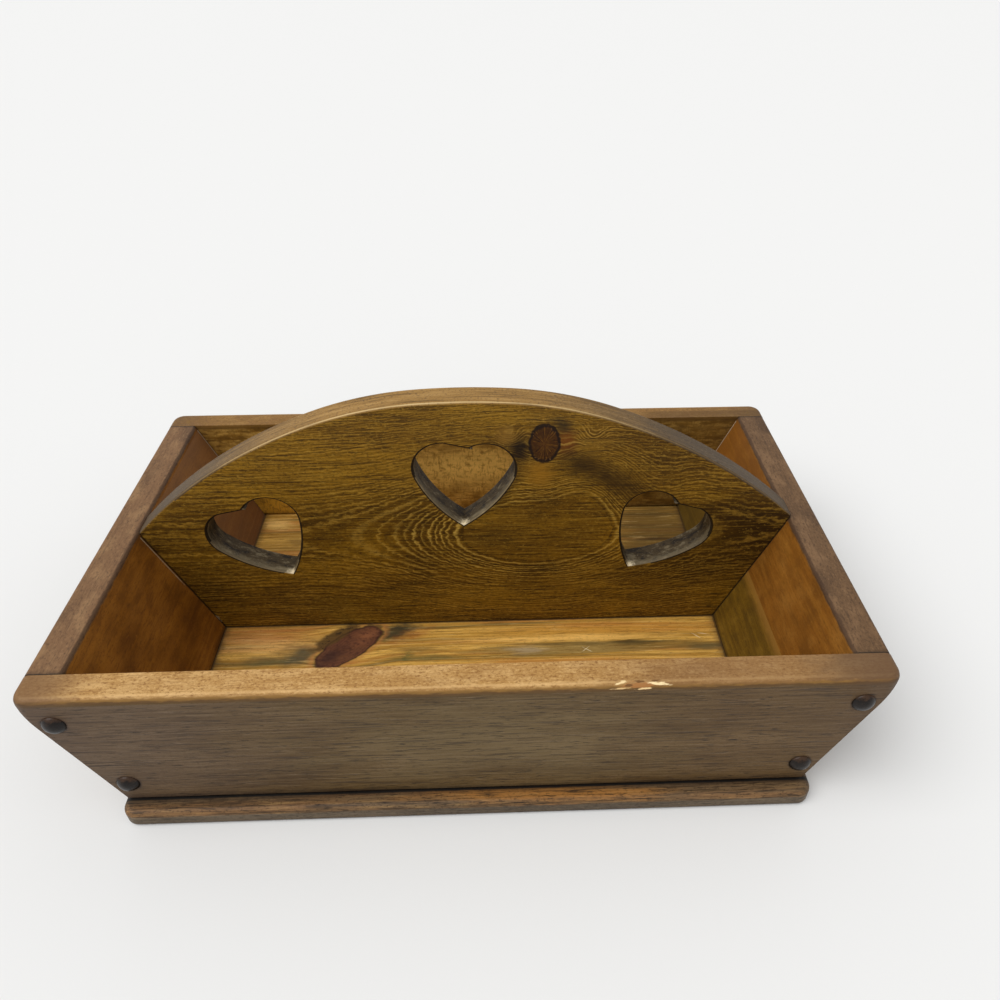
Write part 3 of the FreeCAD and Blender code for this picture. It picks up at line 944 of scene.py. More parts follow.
# %% Finish of the side panels
PANEL_TONES = ("48320e", "5d4725", "6f5837")    # dark, middle and light tone of the outer faces
OUTER_SKIN = (136.0, 140.0)     # where the outer face's finish takes over, from the middle, mm
RIM_EDGE = (142.0, 143.4)       # where the rim starts to turn down, from the middle, mm
PLUG_SHADE_RADIUS = 8.3              # dark ring round each plug, mm
UPPER_PLUG_HEIGHT = RIM - 20.0
LOWER_PLUG_HEIGHT = BASE_TOP + 17.5


def plug_places():
    """(x, z) in mm of the four plugs of a side panel."""
    places = []
    for height in (UPPER_PLUG_HEIGHT, LOWER_PLUG_HEIGHT):
        reach = (end_outer(height) + end_inner(height)) / 2
        places += [(-reach, height), (reach, height)]
    return places


def panel_finish(name, side, inner_tones, rim_tones):
    """Finish of a side panel, except what only one has.  side is -1 at the front, 1 at the back."""
    material, tree = new_finish(name)
    place = board_place(tree)
    x, y, z = [add("SeparateXYZ", {0: place}, out=axis) for axis in range(3)]
    outward = add("Math", {0: y, 1: side}, operation="MULTIPLY")
    rings = ring_count(place, pith=(-40.0, -60.0, 200.0, 7.0, 230.0), ring=3.4,
                       slow=(160, 20, 14), slow_reach=3.5, fine=(22, 10, 4), fine_reach=0.8)
    pale_line, dark_line = growth_lines(rings)
    cloud, fibre, speckle, blotch, ripple = [stretched_noise(place, *grain) for grain in (
        ((70, 30, 22), 3.0, 0.5, 4.0), ((24, 1.1, 1.1), 4.0, 0.7, 9.0),
        ((2.2, 1.3, 1.3), 4.0, 0.75, 3.0), ((16, 7, 7), 3.0, 0.5, 6.0),
        ((9, 5, 2.6), 3.0, 0.5, side * 13.0))]
    dashes = dark_dashes(place, shift=side * 4.0)
    long_dashes = dark_dashes(place, lengths=(30, 1.3, 1.3), least=0.56, most=0.66, shift=11.0)

    dark, middle, light = PANEL_TONES
    outer = colour_layers(middle, [
        (light, 0.8, cloud, 0.5, 0.72),
        (dark, 0.7, cloud, 0.5, 0.3),
        (light, 0.35, pale_line),
        (dark, 0.45, dark_line),
        (dark, 0.85, fibre, 0.48, 0.32),
        ("8a765e", 0.4, fibre, 0.56, 0.7),
        (dark, 0.7, speckle, 0.46, 0.34),
    ])
    dark, middle, light = inner_tones
    inner = colour_layers(middle, [
        (light, 0.75, blotch, 0.45, 0.7),
        (dark, 0.75, blotch, 0.5, 0.28),
        (light, 0.3, pale_line),
        (dark, 0.25, dark_line),
        (dark, 0.65, ripple, 0.48, 0.34),
        (light, 0.55, ripple, 0.54, 0.68),
        (dark, 0.5, speckle, 0.46, 0.32),
        (dark, 0.5, fibre, 0.5, 0.3),
    ])
    dark, middle, light = rim_tones
    rim = colour_layers(middle, [
        (light, 0.45, blotch, 0.42, 0.68),
        (dark, 0.4, cloud, 0.5, 0.3),
        (dark, 0.75, speckle, 0.49, 0.36),
        (light, 0.55, speckle, 0.54, 0.66),
        (dark, 0.45, fibre, 0.5, 0.34),
    ])
    on_outside = ragged_ramp(place, outward, *OUTER_SKIN)
    colour = colour_layers(inner, [
        (outer, 1, on_outside),
        ("5a3e1c", 0.8, ragged_ramp(place, z, RIM - 5.2, RIM - 2.6, reach=0.9, grit=(18, 2, 2))),
        ("8a642c", 0.85, ragged_ramp(place, z, RIM - 3.0, RIM - 1.4, reach=0.9, grit=(9, 1.6, 1.6))),
        (rim, 1, ragged_ramp(place, z, RIM - 1.7, RIM - 0.2, reach=0.4, grit=(7, 1.6, 1.6))),
        # A thin painted highlight along the rim's round.
        (light, 0.4, overlap(ragged_ramp(place, outward, *RIM_EDGE),
                             thin_line(place, z, RIM - 0.15, width=0.4, reach=0.2))),
    ])
    far = add("Math", {0: x}, operation="ABSOLUTE")
    on_face = overlap(ragged_ramp(place, z, RIM - 4.0, RIM - 5.0), on_outside)
    # Painted shade round each plug's head and along the panel's foot, with a black painted shadow line
    # where it meets the base, and a darker tone towards both ends.
    shade_and_end_tone = patch_layers(place, [("140d08", 0.9, *plug, PLUG_SHADE_RADIUS, PLUG_SHADE_RADIUS, 0, 0.06, 0.24,
                             (3, 2, 2)) for plug in plug_places()])
    shade_and_end_tone += [
        ("4f3a2c", 0.45, far, 205.0, 245.0),
        ("1d140c", 0.5, ragged_ramp(place, z, BASE_TOP + 7, BASE_TOP + 1.5, reach=2.0)),
        ("080503", 0.9, ragged_ramp(place, z, BASE_TOP + 1.3, BASE_TOP + 0.5, reach=0.3)),
    ]
    colour = colour_layers(colour, shade_and_end_tone)
    if side < 0:
        to_left, to_right = [ragged_ramp(place, x, start, full, reach=25.0, grit=(50, 10, 25))
                             for start, full in ((-60.0, -190.0), (60.0, 170.0))]
        colour = colour_layers(colour, [
            ("5c4a42", 0.35, overlap(on_face, to_left)),
            ("5c4228", 0.3, overlap(on_face, to_right)),
            ("7a6846", 0.4, overlap(on_face, patch(place, (10, 60), (150, 70), ragged=0.3,
                                                   grit=(50, 10, 14)))),
        ])
    colour = colour_layers(colour, [
        ("1c1208", 0.8, overlap(on_face, dashes)),
        ("281a10", 0.55, overlap(on_face, long_dashes)),
    ])
    relief = colour_layers("808080", [
        ("000000", 0.6, dashes),
        ("ffffff", 0.25, speckle, 0.5, 0.7),
        ("ffffff", 0.3, pale_line),
    ])
    return material, place, colour, relief


# %% Front panel, with its chip, and back panel
CHIP_EDGE = (-142.4, -143.2)    # where the rim is split, from the middle, mm
SPLINTERS = [               # tone, x, depth under the rim, half length, half height, turn
    ("a06c38", 98, 1.3, 11.0, 1.3, 0), ("6a461e", 92, 1.1, 2.6, 0.7, 0),
    ("6a461e", 98, 0.2, 3.0, 0.3, 0), ("6a461e", 107, 0.1, 3.4, 0.2, 0),
    ("d9b47c", 87.5, 2.4, 6.4, 0.45, 2), ("f2d6a0", 87.5, 0.4, 3.6, 0.35, 6),
    ("f0cf96", 100.5, 2.7, 5.2, 0.6, 5), ("f6dca8", 109, 0.9, 7.4, 0.6, -2),
]


def front_finish():
    """The front panel: a rim with painted shade towards its ends, and a chip on its edge that shows the
    wood under the stain.
    """
    material, place, colour, relief = panel_finish(
        "pine_walnut_stain_front", -1, ("7a5010", "94691f", "b08438"), ("7a4f1e", "b0854a", "dcb478"))
    x, y, z = [add("SeparateXYZ", {0: place}, out=axis) for axis in range(3)]
    on_top = ragged_ramp(place, z, RIM - 2.4, RIM - 0.9, reach=0.9, grit=(9, 2, 2))
    right_rim_shade = ragged_ramp(place, x, 40.0, 150.0, reach=20.0, grit=(40, 10, 10))
    left_rim_shade = ragged_ramp(place, x, -200.0, -236.0, reach=8.0, grit=(20, 6, 6))
    rim_end_shade = add("Math", {0: right_rim_shade, 1: left_rim_shade}, operation="MAXIMUM")
    deeper_right_shade = ragged_ramp(place, x, 182.0, 226.0, reach=10.0, grit=(20, 8, 8))
    # The top of the rim darkens towards its ends, most at the right: painted shade.
    colour = colour_layers(colour, [
        ("755230", 0.6, overlap(on_top, rim_end_shade)),
        ("57402c", 0.6, overlap(on_top, deeper_right_shade)),
    ])
    at_edge = ragged_ramp(place, y, *CHIP_EDGE)
    for tone, middle, depth, length, height, turn in SPLINTERS:
        spot = patch(place, (middle, RIM - depth), (length, height), turn=turn, ragged=0.45,
                     soft=0.5, grit=(3, 0.8, 0.8))
        shard = overlap(spot, at_edge)
        colour = colour_layers(colour, [(tone, 0.95, shard)])
        relief = colour_layers(relief, [("000000", 0.4, shard)])
    varnished(colour, relief)
    return material


def back_finish():
    """The back panel, with painted light on its inner face where it shows through the cut-outs and painted
    shade towards its right end.
    """
    material, place, colour, relief = panel_finish(
        "pine_walnut_stain_back", 1, ("5f3f0c", "9a7028", "cca050"), ("644420", "86602e", "a47e44"))
    x = add("SeparateXYZ", {0: place}, out=0)
    y = add("SeparateXYZ", {0: place}, out=1)
    inside = ragged_ramp(place, y, *reversed(OUTER_SKIN))
    lit = patch(place, (0, 60), (130, 34))
    mottle, crossed = [stretched_noise(place, *grain) for grain in (
        ((7, 4, 4), 4.0, 0.65, 17.0), ((1.6, 2, 5), 2.0, 0.5, 21.0))]
    shaded = ragged_ramp(place, x, 120.0, 175.0, reach=12.0, grit=(30, 10, 10))
    blotches, flecks = [add("MapRange", {0: noise, 1: 0.48, 2: 0.34})
                        for noise in (mottle, crossed)]
    # lit and the golden patch at the left are painted light, and shaded is painted shade.
    colour = colour_layers(colour, [
        ("f0c468", 0.8, overlap(lit, inside)),
        ("d8a434", 0.9, overlap(patch(place, (-172, 24), (48, 26)), inside)),
        ("7a5820", 0.7, overlap(blotches, inside)),
        ("7a5820", 0.5, overlap(flecks, inside)),
        ("3a2608", 0.42, overlap(shaded, inside)),
    ])
    varnished(colour, relief)
    return material


front_piece = side_panel("front_board", panel_low, panel_high)
finish_piece(front_piece, front_finish(), "front_panel")
back_piece = side_panel("back_board", back_low, back_high)
finish_piece(back_piece, back_finish(), "back_panel")


# %% [markdown]
# ## End boards
#
# Each end is sawn from square-edged stock: the block is made upright and square, leaned over by the
# splay, and then sawn level at the base and at the rim.  The right end is made of two boards, so its
# block is made in two lengths that meet on a glue line square to their faces.

# %% End boards
END_STOCK = 10.0            # extra stock that is sawn off level, mm
OUTER_ROUND, INNER_ROUND = 3.0, 2.0     # rounds of the two edges at the rim, mm


def end_board(name, end, low, high):
    """A board of an end wall between two heights on its inner face, in mm."""
    slope = 1 / math.cos(SPLAY)
    foot_x = end_inner(BASE_TOP)
    at_foot, at_rim = low < BASE_TOP + 0.1, high > RIM - 0.1
    low_run = (low - BASE_TOP) * slope - (END_STOCK if at_foot else 0)
    high_run = (high - BASE_TOP) * slope + (END_STOCK if at_rim else 0)
    near_face, far_face = sorted((end * foot_x, end * (foot_x + END_BOARD)))
    board = block(name, (near_face, left_low[1], BASE_TOP + low_run),
                  (far_face, left_high[1], BASE_TOP + high_run))
    bpy.ops.mesh.select_all(action="SELECT")
    lean = Matrix.Rotation(end * SPLAY, 4, "Y")
    pivot = Matrix.Translation((end * foot_x * MM, 0, BASE_TOP * MM))
    mesh = bpy.context.edit_object.data
    shape = bmesh.from_edit_mesh(mesh)
    bmesh.ops.transform(shape, matrix=pivot @ lean @ pivot.inverted(), verts=shape.verts)
    bmesh.update_edit_mesh(mesh)
    if at_foot:
        saw((0, 0, BASE_TOP), (0, 0, -1))
    if at_rim:
        saw((0, 0, RIM - SKIM), (0, 0, 1))
        for distance, radius in ((end_outer(RIM), OUTER_ROUND), (end_inner(RIM), INNER_ROUND)):
            pick("EDGE", lambda m, edge: m.z > RIM - 0.1 and abs(m.x - end * distance) < 0.1)
            ease(radius, segments=4)
    return board


# %% [markdown]
# The grain of the ends runs from front to back.  The left one is a plain brown-orange board.  On the
# right, an orange board sits above an olive one, with a paler strip where the joint was planed flush.
# The rims are reddish and speckled, because the top edge of a leaning board shows some end grain,
# and a dark line of painted shade runs along their inner round.  Painted shade also darkens a few mm
# of the faces where they meet the panels and the base.

# %% Finish of the end boards
def end_finish(name, end, tones, rim_tones, veil, strip):
    """Finish of an end board.

    end is -1 at the left and 1 at the right, tones are dark, middle and light, veil is the tone
    behind the handle board and strip is a paler strip along a joint, if there is one.
    """
    material, tree = new_finish(name)
    world_place = board_place(tree)
    place = board_place(tree, turn_degrees=(end * SPLAY_DEGREES, 0, 90))
    x, y, z = [add("SeparateXYZ", {0: world_place}, out=axis) for axis in range(3)]
    rings = ring_count(place, pith=(10.0, 150.0, 90.0 * end, 3.0, 130.0), ring=3.2,
                       slow=(120, 20, 18), slow_reach=3.0, fine=(24, 8, 4), fine_reach=0.7)
    pale_line, dark_line = growth_lines(rings)
    cloud, fibre, speckle, blotch = [stretched_noise(place, *grain) for grain in (
        ((60, 30, 30), 3.0, 0.5, end * 3.0), ((28, 1.2, 1.2), 4.0, 0.7, end * 5.0),
        ((2.6, 1.4, 1.4), 4.0, 0.75, 8.0), ((18, 10, 10), 4.0, 0.5, end * 7.0))]
    dashes = dark_dashes(place, lengths=(8, 0.9, 0.9), shift=end * 6.0)
    dark, middle, light = tones
    face = colour_layers(middle, [
        (light, 0.75, cloud, 0.48, 0.72),
        (dark, 0.7, cloud, 0.5, 0.28),
        (light, 0.3, pale_line),
        (dark, 0.35, dark_line),
        (dark, 0.35, fibre, 0.5, 0.3),
        (light, 0.3, fibre, 0.56, 0.7),
        (light, 0.35, blotch, 0.5, 0.7),
        (dark, 0.4, blotch, 0.5, 0.32),
        (dark, 0.5, speckle, 0.48, 0.34),
        (light, 0.35, speckle, 0.58, 0.7),
        (dark, 0.5, dashes),
    ])
    if strip:
        tone, strength, start, full = strip
        planed = ragged_ramp(place, z, start, full, reach=1.2)
        face = colour_layers(face, [(tone, strength, planed)])
    dark, middle, light = rim_tones
    rim = colour_layers(middle, [
        (light, 0.6, blotch, 0.45, 0.7),
        (dark, 0.6, cloud, 0.5, 0.3),
        (dark, 0.75, speckle, 0.48, 0.34),
        (light, 0.55, speckle, 0.54, 0.68),
        (dark, 0.5, fibre, 0.48, 0.32),
    ])
    dark, middle, light = PANEL_TONES
    outer = colour_layers(middle, [
        (light, 0.7, cloud, 0.5, 0.7),
        (dark, 0.6, fibre, 0.5, 0.3),
        ("32230f", 0.6, dashes),
    ])
    reach = add("Math", {0: x, 1: end}, operation="MULTIPLY")
    lean = add("Math", {0: z, 1: -math.tan(SPLAY), 2: reach}, operation="MULTIPLY_ADD")
    middle_of_board = (end_inner(0) + end_outer(0)) / 2
    inner_edge_shade = ragged_ramp(place, lean, end_inner(0) + 1.9, end_inner(0) + 0.8, reach=0.5)
    rim_mask = ragged_ramp(place, z, RIM - 2.6, RIM - 1.2, reach=0.7)
    side_way = add("Math", {0: y}, operation="ABSOLUTE")
    colour = colour_layers(face, [
        (outer, 1, ragged_ramp(place, lean, middle_of_board - 2, middle_of_board + 2)),
        (rim, 1, rim_mask),
        # painted shade along the rim's inner round
        ("3c2614", 0.7, overlap(inner_edge_shade, rim_mask)),
        # Painted shade for a few mm where the board meets the panels and the base, each with a dark joint
        # line.
        ("2a1c08", 0.5, ragged_ramp(place, side_way, SIDE_REACH - 4.0, SIDE_REACH, reach=0.6)),
        ("160e07", 0.85, thin_line(place, side_way, SIDE_REACH)),
        ("2a1c08", 0.5, ragged_ramp(place, z, BASE_TOP + 4.0, BASE_TOP, reach=0.6)),
        ("160e07", 0.8, thin_line(place, z, BASE_TOP)),
    ])
    inside = ragged_ramp(place, lean, middle_of_board + 2, middle_of_board - 2)
    under_rim = ragged_ramp(place, z, RIM - 3.0, RIM - 4.0)
    inside_wall = overlap(inside, under_rim)
    high_up = ragged_ramp(place, z, 58.0, 66.0, reach=6.0, grit=(6, 6, 6))
    glued = overlap(inside_wall, high_up)
    veiled = overlap(inside_wall, ragged_ramp(place, y, handle_high[1], handle_high[1] + 10))
    colour = colour_layers(colour, [
        (veil, 0.5, veiled),
        ("160e07", 0.8, overlap(inside_wall, thin_line(place, y, handle_low[1]))),
        ("160e07", 0.8, overlap(inside_wall, thin_line(place, y, handle_high[1]))),
        ("b4a68c", 0.75, overlap(glued, thin_line(place, y, SIDE_REACH - 1.5, width=0.7))),
    ])
    if end < 0:
        colour = colour_layers(colour, [
            ("b4a68c", 0.7, overlap(glued, thin_line(place, y, handle_low[1] - 1.4, width=0.6)))])
    relief = colour_layers("808080", [
        ("000000", 0.5, dashes),
        ("ffffff", 0.2, speckle, 0.5, 0.7),
        ("ffffff", 0.3, pale_line),
    ])
    varnished(colour, relief)
    return material


end_boards = [      # name, node, finish, end, heights, tones, rim tones, veil, strip
    ("left_end", "left_end_board", "pine_orange_stain_left", -1, (BASE_TOP, RIM),
     ("5a320a", "83500e", "a46a22"), ("4c3521", "785738", "96744e"), "8a6648", None),
    ("right_end_lower", "right_end_lower_board", "pine_olive_stain_lower_right", 1,
     (BASE_TOP, seam_high), ("453007", "664909", "8a6820"), ("523618", "66492e", "78603f"),
     "5a4618", ("94682a", 0.7, seam_high - 9, seam_high - 1)),
    ("right_end_upper", "right_end_upper_board", "pine_orange_stain_upper_right", 1,
     (seam_high, RIM), ("5e3806", "7f4e10", "9c6a28"), ("402c1a", "64492e", "846444"),
     "7a4a14", None),
]
for name, node_name, finish_name, end, heights, *looks in end_boards:
    piece = end_board(name, end, *heights)
    finish_piece(piece, end_finish(finish_name, end, *looks), node_name)


# %% [markdown]
# ## Base board
#
# The base projects all round.  Its corners are round in plan, its top edge has a soft round and its
# bottom edge a smaller one.

# %% Base board
BASE_TRIM = 2.4             # the left end of the base was sawn a little short, mm
BASE_INSET = 0.02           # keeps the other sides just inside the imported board, mm
TOP_ROUND, BOTTOM_ROUND = 4.0, 2.5      # mm


def base_board():
    """The base, with its corners round in plan and its edges rounded."""
    low = [base_low[0] + BASE_TRIM, base_low[1] + BASE_INSET, base_low[2]]
    high = [base_high[0] - BASE_INSET, base_high[1] - BASE_INSET, base_high[2]]
    board = block("base", low, high)
    for height, radius, segments in (((low[2] + high[2]) / 2, CORNER_RADIUS, 8),
                                     (high[2], TOP_ROUND, 5), (low[2], BOTTOM_ROUND, 4)):
        pick("EDGE", lambda m, edge: abs(m.z - height) < 0.01)
        ease(radius, segments=segments)
    return board


# %% [markdown]
# Inside the tray the base is golden, with orange and olive streaks along it.  A large slanting knot,
# the colour of plum skin, crosses the front compartment, with dark smears at its ends.  Outside the
# tray the base is as dark as the panels, and its front edge has worn to orange brown.
# Painted shade darkens the floor behind the handle board and along the end boards, the ledge next to the
# panels and the bottom of the front edge.

# %% Finish of the base
FLOOR_KNOT = (-91.0, -29.0)         # middle of the large knot, x and y in mm
FLOOR_KNOT_SIZE = (28.5, 13.0)      # half its length and width, mm
FLOOR_KNOT_TURN = 40.0              # degrees
FLOOR_KNOT_BANDS = 13.0             # light and dark bands from its middle to its edge
SCRATCHES = ((170, -27, -42), (176, -25, -12), (85, -37, 40), (86, -37.5, -35))   # x, y, turn
UNDER_PANEL, UNDER_END = (130.0, 134.0), (190.0, 194.0)     # where the ledge's finish starts, mm


def floor_knot_layers(place, top):
    """Draw the slanting knot: a plum heart with rings, a bark side and a dark outline."""
    size, turn = FLOOR_KNOT_SIZE, FLOOR_KNOT_TURN
    reach, _ = ellipse_reach(place, FLOOR_KNOT, size, turn)
    wobble = stretched_noise(place, (9, 7, 7), detail=3.0, shift=4.0, reach=0.08)
    reach = add("Math", {0: reach, 1: wobble}, operation="ADD")
    body = add("MapRange", {0: reach, 1: 1.0, 2: 0.93})
    outline_in = add("MapRange", {0: reach, 1: 0.84, 2: 0.94})
    outline_out = add("MapRange", {0: reach, 1: 1.06, 2: 0.98})
    rings = add("Math", {0: reach, 1: FLOOR_KNOT_BANDS}, operation="MULTIPLY")
    ring_wave = add("Math", {0: rings, 1: 1.0}, operation="PINGPONG")
    mottle = stretched_noise(place, (3.5, 2.5, 2.5), detail=4.0, roughness=0.65, shift=9.0)
    bark_side = patch(place, (-101.5, -19.5), (27, 8.5), turn=turn, ragged=0.2, soft=0.45)
    warm_half = patch(place, (-80, -19), (19, 9), turn=turn, ragged=0.35)
    dark_half = patch(place, (-104, -38), (18, 9), turn=turn, ragged=0.35)
    halo_in = add("MapRange", {0: reach, 1: 1.0, 2: 1.07})
    halo_out = add("MapRange", {0: reach, 1: 1.3, 2: 1.07})
    return colour_layers(top, [
        ("b0743c", 0.6, overlap(halo_in, halo_out)),
        ("4e3716", 0.9, bark_side),
        ("241708", 0.8, overlap(bark_side, add("MapRange", {0: mottle, 1: 0.46, 2: 0.36}))),
        ("58301e", 0.96, body),
        ("70462e", 0.5, overlap(ring_wave, body)),
        ("8c5634", 0.75, overlap(warm_half, body)),
        ("2c1614", 0.7, overlap(dark_half, body)),
        ("351610", 0.6, overlap(body, add("MapRange", {0: mottle, 1: 0.5, 2: 0.36}))),
        ("2a120a", 0.6, overlap(outline_in, outline_out)),
        ("584018", 0.8, overlap(body, patch(place, (-105, -21), (24, 7), turn=turn,
                                            ragged=0.2, soft=0.5))),
    ])


# Soft patches: tone, strength, x, y, half length, half width, turn, raggedness, softness, grit.
FLOOR_BANDS = [
    ("c88a34", 0.7, 100, -17, 120, 8, 0, 0.3, 0.8, (40, 6, 4)),
    ("b06a38", 0.65, -158, -21, 44, 7, 0, 0.3, 0.8, (30, 6, 4)),
]

FLOOR_STAINS_AND_SHADE = [
    ("ecb86c", 0.6, -150, -26, 60, 14, 0, 0.3, 0.9, (40, 6, 5)),
    # These two darken the floor behind the handle board: painted shade.
    ("54401c", 0.78, 158, 96, 66, 62, 0, 0.25, 0.7, (50, 10, 6)),
    ("6e5a2c", 0.35, -140, 92, 60, 30, 0, 0.25, 0.9, (50, 10, 6)),
    ("ffd27a", 0.75, -174, 114, 24, 12, 0, 0.3, 1.0, (20, 4, 3)),
    ("5a4420", 0.4, -150, 90, 16, 9, 0, 0.3),
    ("3c3018", 0.7, -126, 76, 16, 7, 12, 0.35),
    ("2e2210", 0.6, 160, 84, 30, 5, 3, 0.35, 1.0, (20, 6, 3)),
    ("cb953a", 0.6, 80, -20, 140, 6, 0, 0.3, 0.8, (50, 6, 3)),
    ("f2bd62", 0.9, 66, -26, 98, 4.4, 0, 0.3, 0.7, (40, 6, 3)),
    ("b8703a", 0.4, -160, -15, 62, 9, 0, 0.3, 0.8, (40, 6, 3)),
    ("967a40", 0.9, 84, -36, 86, 7.5, 0.5, 0.35, 0.55, (60, 6, 3)),
    ("86662c", 0.8, 150, -35.5, 62, 6.5, 0, 0.35, 0.7, (40, 6, 3)),
    ("b4a080", 0.55, 40, -37, 22, 5.6, 0, 0.35, 0.9, (12, 4, 2)),
    ("5a4a24", 0.75, 80, -31.2, 72, 2.4, 0, 0.5, 0.8, (30, 6, 2)),
    ("7a6028", 0.4, 60, -42, 90, 2.2, -1, 0.6, 0.8, (30, 6, 2)),
    ("7a5c26", 0.65, -40, -34, 26, 5, 0, 0.4, 0.9, (20, 4, 3)),
    ("5f4826", 0.6, -130, -30, 22, 7, 14, 0.35, 0.9, (14, 4, 3)),
    ("3e3216", 0.75, 126, -31.5, 30, 2.6, 0, 0.5, 0.8, (20, 6, 2)),
    ("6b6030", 0.6, -38, -41, 40, 4, 2, 0.45, 0.8, (20, 4, 3)),
    ("4f5628", 0.7, -47, -39, 8, 5, 20, 0.45, 0.9, (6, 4, 3)),
    ("5c5434", 0.7, 176, -37, 24, 5, 0, 0.35, 0.8, (14, 4, 3)),
    ("5f5a32", 0.8, -146, -43, 30, 5, 4, 0.35, 0.8, (14, 4, 3)),
    ("4a4634", 0.9, -125, -37, 20, 10, 24, 0.3, 0.9),
    ("6a5c34", 0.7, -150, -40, 32, 7, 6, 0.35, 0.9, (14, 4, 3)),
    ("35301e", 0.95, -56, -15, 20, 10, 20, 0.3, 0.7),
    ("934c1c", 0.55, -44, -19, 26, 8, 22, 0.3),
]


def base_finish():
    """Golden floor inside the tray, a dark ledge round it and worn front edges, with painted shade by the
    walls.
    """
    material, tree = new_finish("pine_golden_stain_base")
    world_place = board_place(tree)
    place = board_place(tree, turn_degrees=(-90, 0, 0))
    flat = part_round_knot(place, FLOOR_KNOT, (46, 34), strength=0.75)
    x, y, z = [add("SeparateXYZ", {0: world_place}, out=axis) for axis in range(3)]
    rings = ring_count(flat, pith=(40.0, -150.0, 60.0, 10.0, 200.0), ring=3.6,
                       slow=(260, 30, 20), slow_reach=3.0, fine=(40, 10, 5), fine_reach=0.6)
    pale_line, dark_line = growth_lines(rings)
    streak, orange = [stretched_noise(flat, *grain) for grain in (
        ((200, 14, 4), 4.0, 0.65, 2.0), ((160, 20, 8), 3.0, 0.5, 12.0))]
    fibre, speckle = [stretched_noise(place, *grain) for grain in (
        ((26, 1.1, 1.1), 4.0, 0.7, 4.0), ((2.6, 1.4, 1.4), 4.0, 0.75, 6.0))]
    dashes = dark_dashes(place, least=0.55, most=0.66, shift=2.0)
    top = colour_layers("b98a36", [
        ("e2b052", 0.85, streak, 0.51, 0.62),
        ("b87434", 0.65, orange, 0.5, 0.66),
        ("6f5c2c", 0.85, streak, 0.47, 0.36),
        *patch_layers(place, FLOOR_BANDS),
        ("efc478", 0.3, pale_line),
        ("8a5a20", 0.3, dark_line),
        *patch_layers(place, FLOOR_STAINS_AND_SHADE),
        ("6b4a1c", 0.6, fibre, 0.47, 0.33),
        ("f0cc84", 0.4, fibre, 0.57, 0.7),
        ("4c3412", 0.3, dashes),
        ("6a4c1e", 0.4, speckle, 0.45, 0.34),
    ])
    top = floor_knot_layers(place, top)
    top = colour_layers(top, patch_layers(place, [
        ("ead9b0", 0.75, *middle, 5.5, 0.45, turn, 0.3, 0.8, (3, 1, 1))
        for *middle, turn in SCRATCHES]))
    across = add("Math", {0: y}, operation="ABSOLUTE")
    along = add("Math", {0: x}, operation="ABSOLUTE")
    foot_lines = add("Math", {0: thin_line(place, y, handle_low[1], width=1.6),
                              1: thin_line(place, y, handle_high[1], width=1.6)},
                     operation="MAXIMUM")
    end_lines = thin_line(place, along, end_inner(BASE_TOP), width=1.6)
    top = colour_layers(top, [
        ("1c1206", 0.8, foot_lines),
        ("2a1c0c", 0.75, end_lines),
        # Painted shade on the floor for a few mm along the end boards.
        ("4a3418", 0.6, ragged_ramp(place, along, end_inner(BASE_TOP) - 7,
                                  end_inner(BASE_TOP), reach=2.0)),
    ])
    edge = colour_layers("564836", [
        ("7a6850", 0.7, orange, 0.48, 0.7),
        ("3f2c14", 0.65, fibre, 0.5, 0.3),
        ("2c1e0e", 0.7, speckle, 0.48, 0.34),
        ("84704e", 0.45, speckle, 0.56, 0.7),
        ("221608", 0.7, dashes),
        # Painted shade along the bottom of the edge, where it meets the floor.
        ("181109", 0.7, ragged_ramp(place, z, 2.6, 1.0, reach=0.4)),
    ])
    ledge = colour_layers("6a5338", [
        ("8c6034", 0.45, orange, 0.48, 0.64),
        ("a8702e", 0.7, patch(place, (45, -152), (100, 9), ragged=0.4, soft=0.8, grit=(40, 8, 4))),
        ("463420", 0.75, streak, 0.5, 0.32),
        ("3a2a18", 0.85, fibre, 0.5, 0.36),
        ("a88450", 0.55, fibre, 0.55, 0.68),
        ("2c1e0e", 0.6, speckle, 0.48, 0.34),
        ("221608", 0.8, dashes),
        # Painted shade on the ledge next to the panels, and a black painted shadow line under them.
        ("2a1b0a", 0.6, ragged_ramp(place, across, SIDE_OUTER + 4.5, SIDE_OUTER + 1.0, reach=0.6)),
        ("050302", 0.95, thin_line(place, across, SIDE_OUTER, width=1.5)),
    ])
    past_panel, past_end = [add("MapRange", {0: value, 1: start, 2: full})
                            for value, (start, full) in ((across, UNDER_PANEL), (along, UNDER_END))]
    outside = add("Math", {0: past_panel, 1: past_end}, operation="MAXIMUM")
    below_top = ragged_ramp(place, z, BASE_TOP - 3.0, BASE_TOP - 4.4, reach=0.6)
    colour = colour_layers(top, [(ledge, 1, outside), (edge, 1, below_top)])
    relief = colour_layers("808080", [
        ("000000", 0.5, dashes),
        ("ffffff", 0.3, pale_line),
        ("ffffff", 0.2, speckle, 0.5, 0.7),
    ])
    varnished(colour, relief, gloss_low=0.34)
    return material


base_piece = base_board()
finish_piece(base_piece, base_finish(), "base_board")


# %% [markdown]
# ## Button plugs
#
# A button plug is turned on a lathe: a domed head with a thin upright rim and a tenon that fills the
# hole.  The dome is the cap of a sphere, cut off with a plane, and its open ring is then extruded down
# for the rim, inset, and extruded again for the tenon.

# %% Button plugs
PLUG_HEAD_RADIUS = 6.8      # sizes in mm
PLUG_HEAD_HEIGHT = 4.0
PLUG_RIM = 0.5              # height of the upright rim
PLUG_INSET = 0.03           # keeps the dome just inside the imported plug
PLUG_TENON_RADIUS = 4.55
PLUG_TENON_LENGTH = 4.4
PLUG_EASE = 0.35            # between the dome and the rim
PLUG_TURN = 37              # each plug was driven at its own turn, degrees


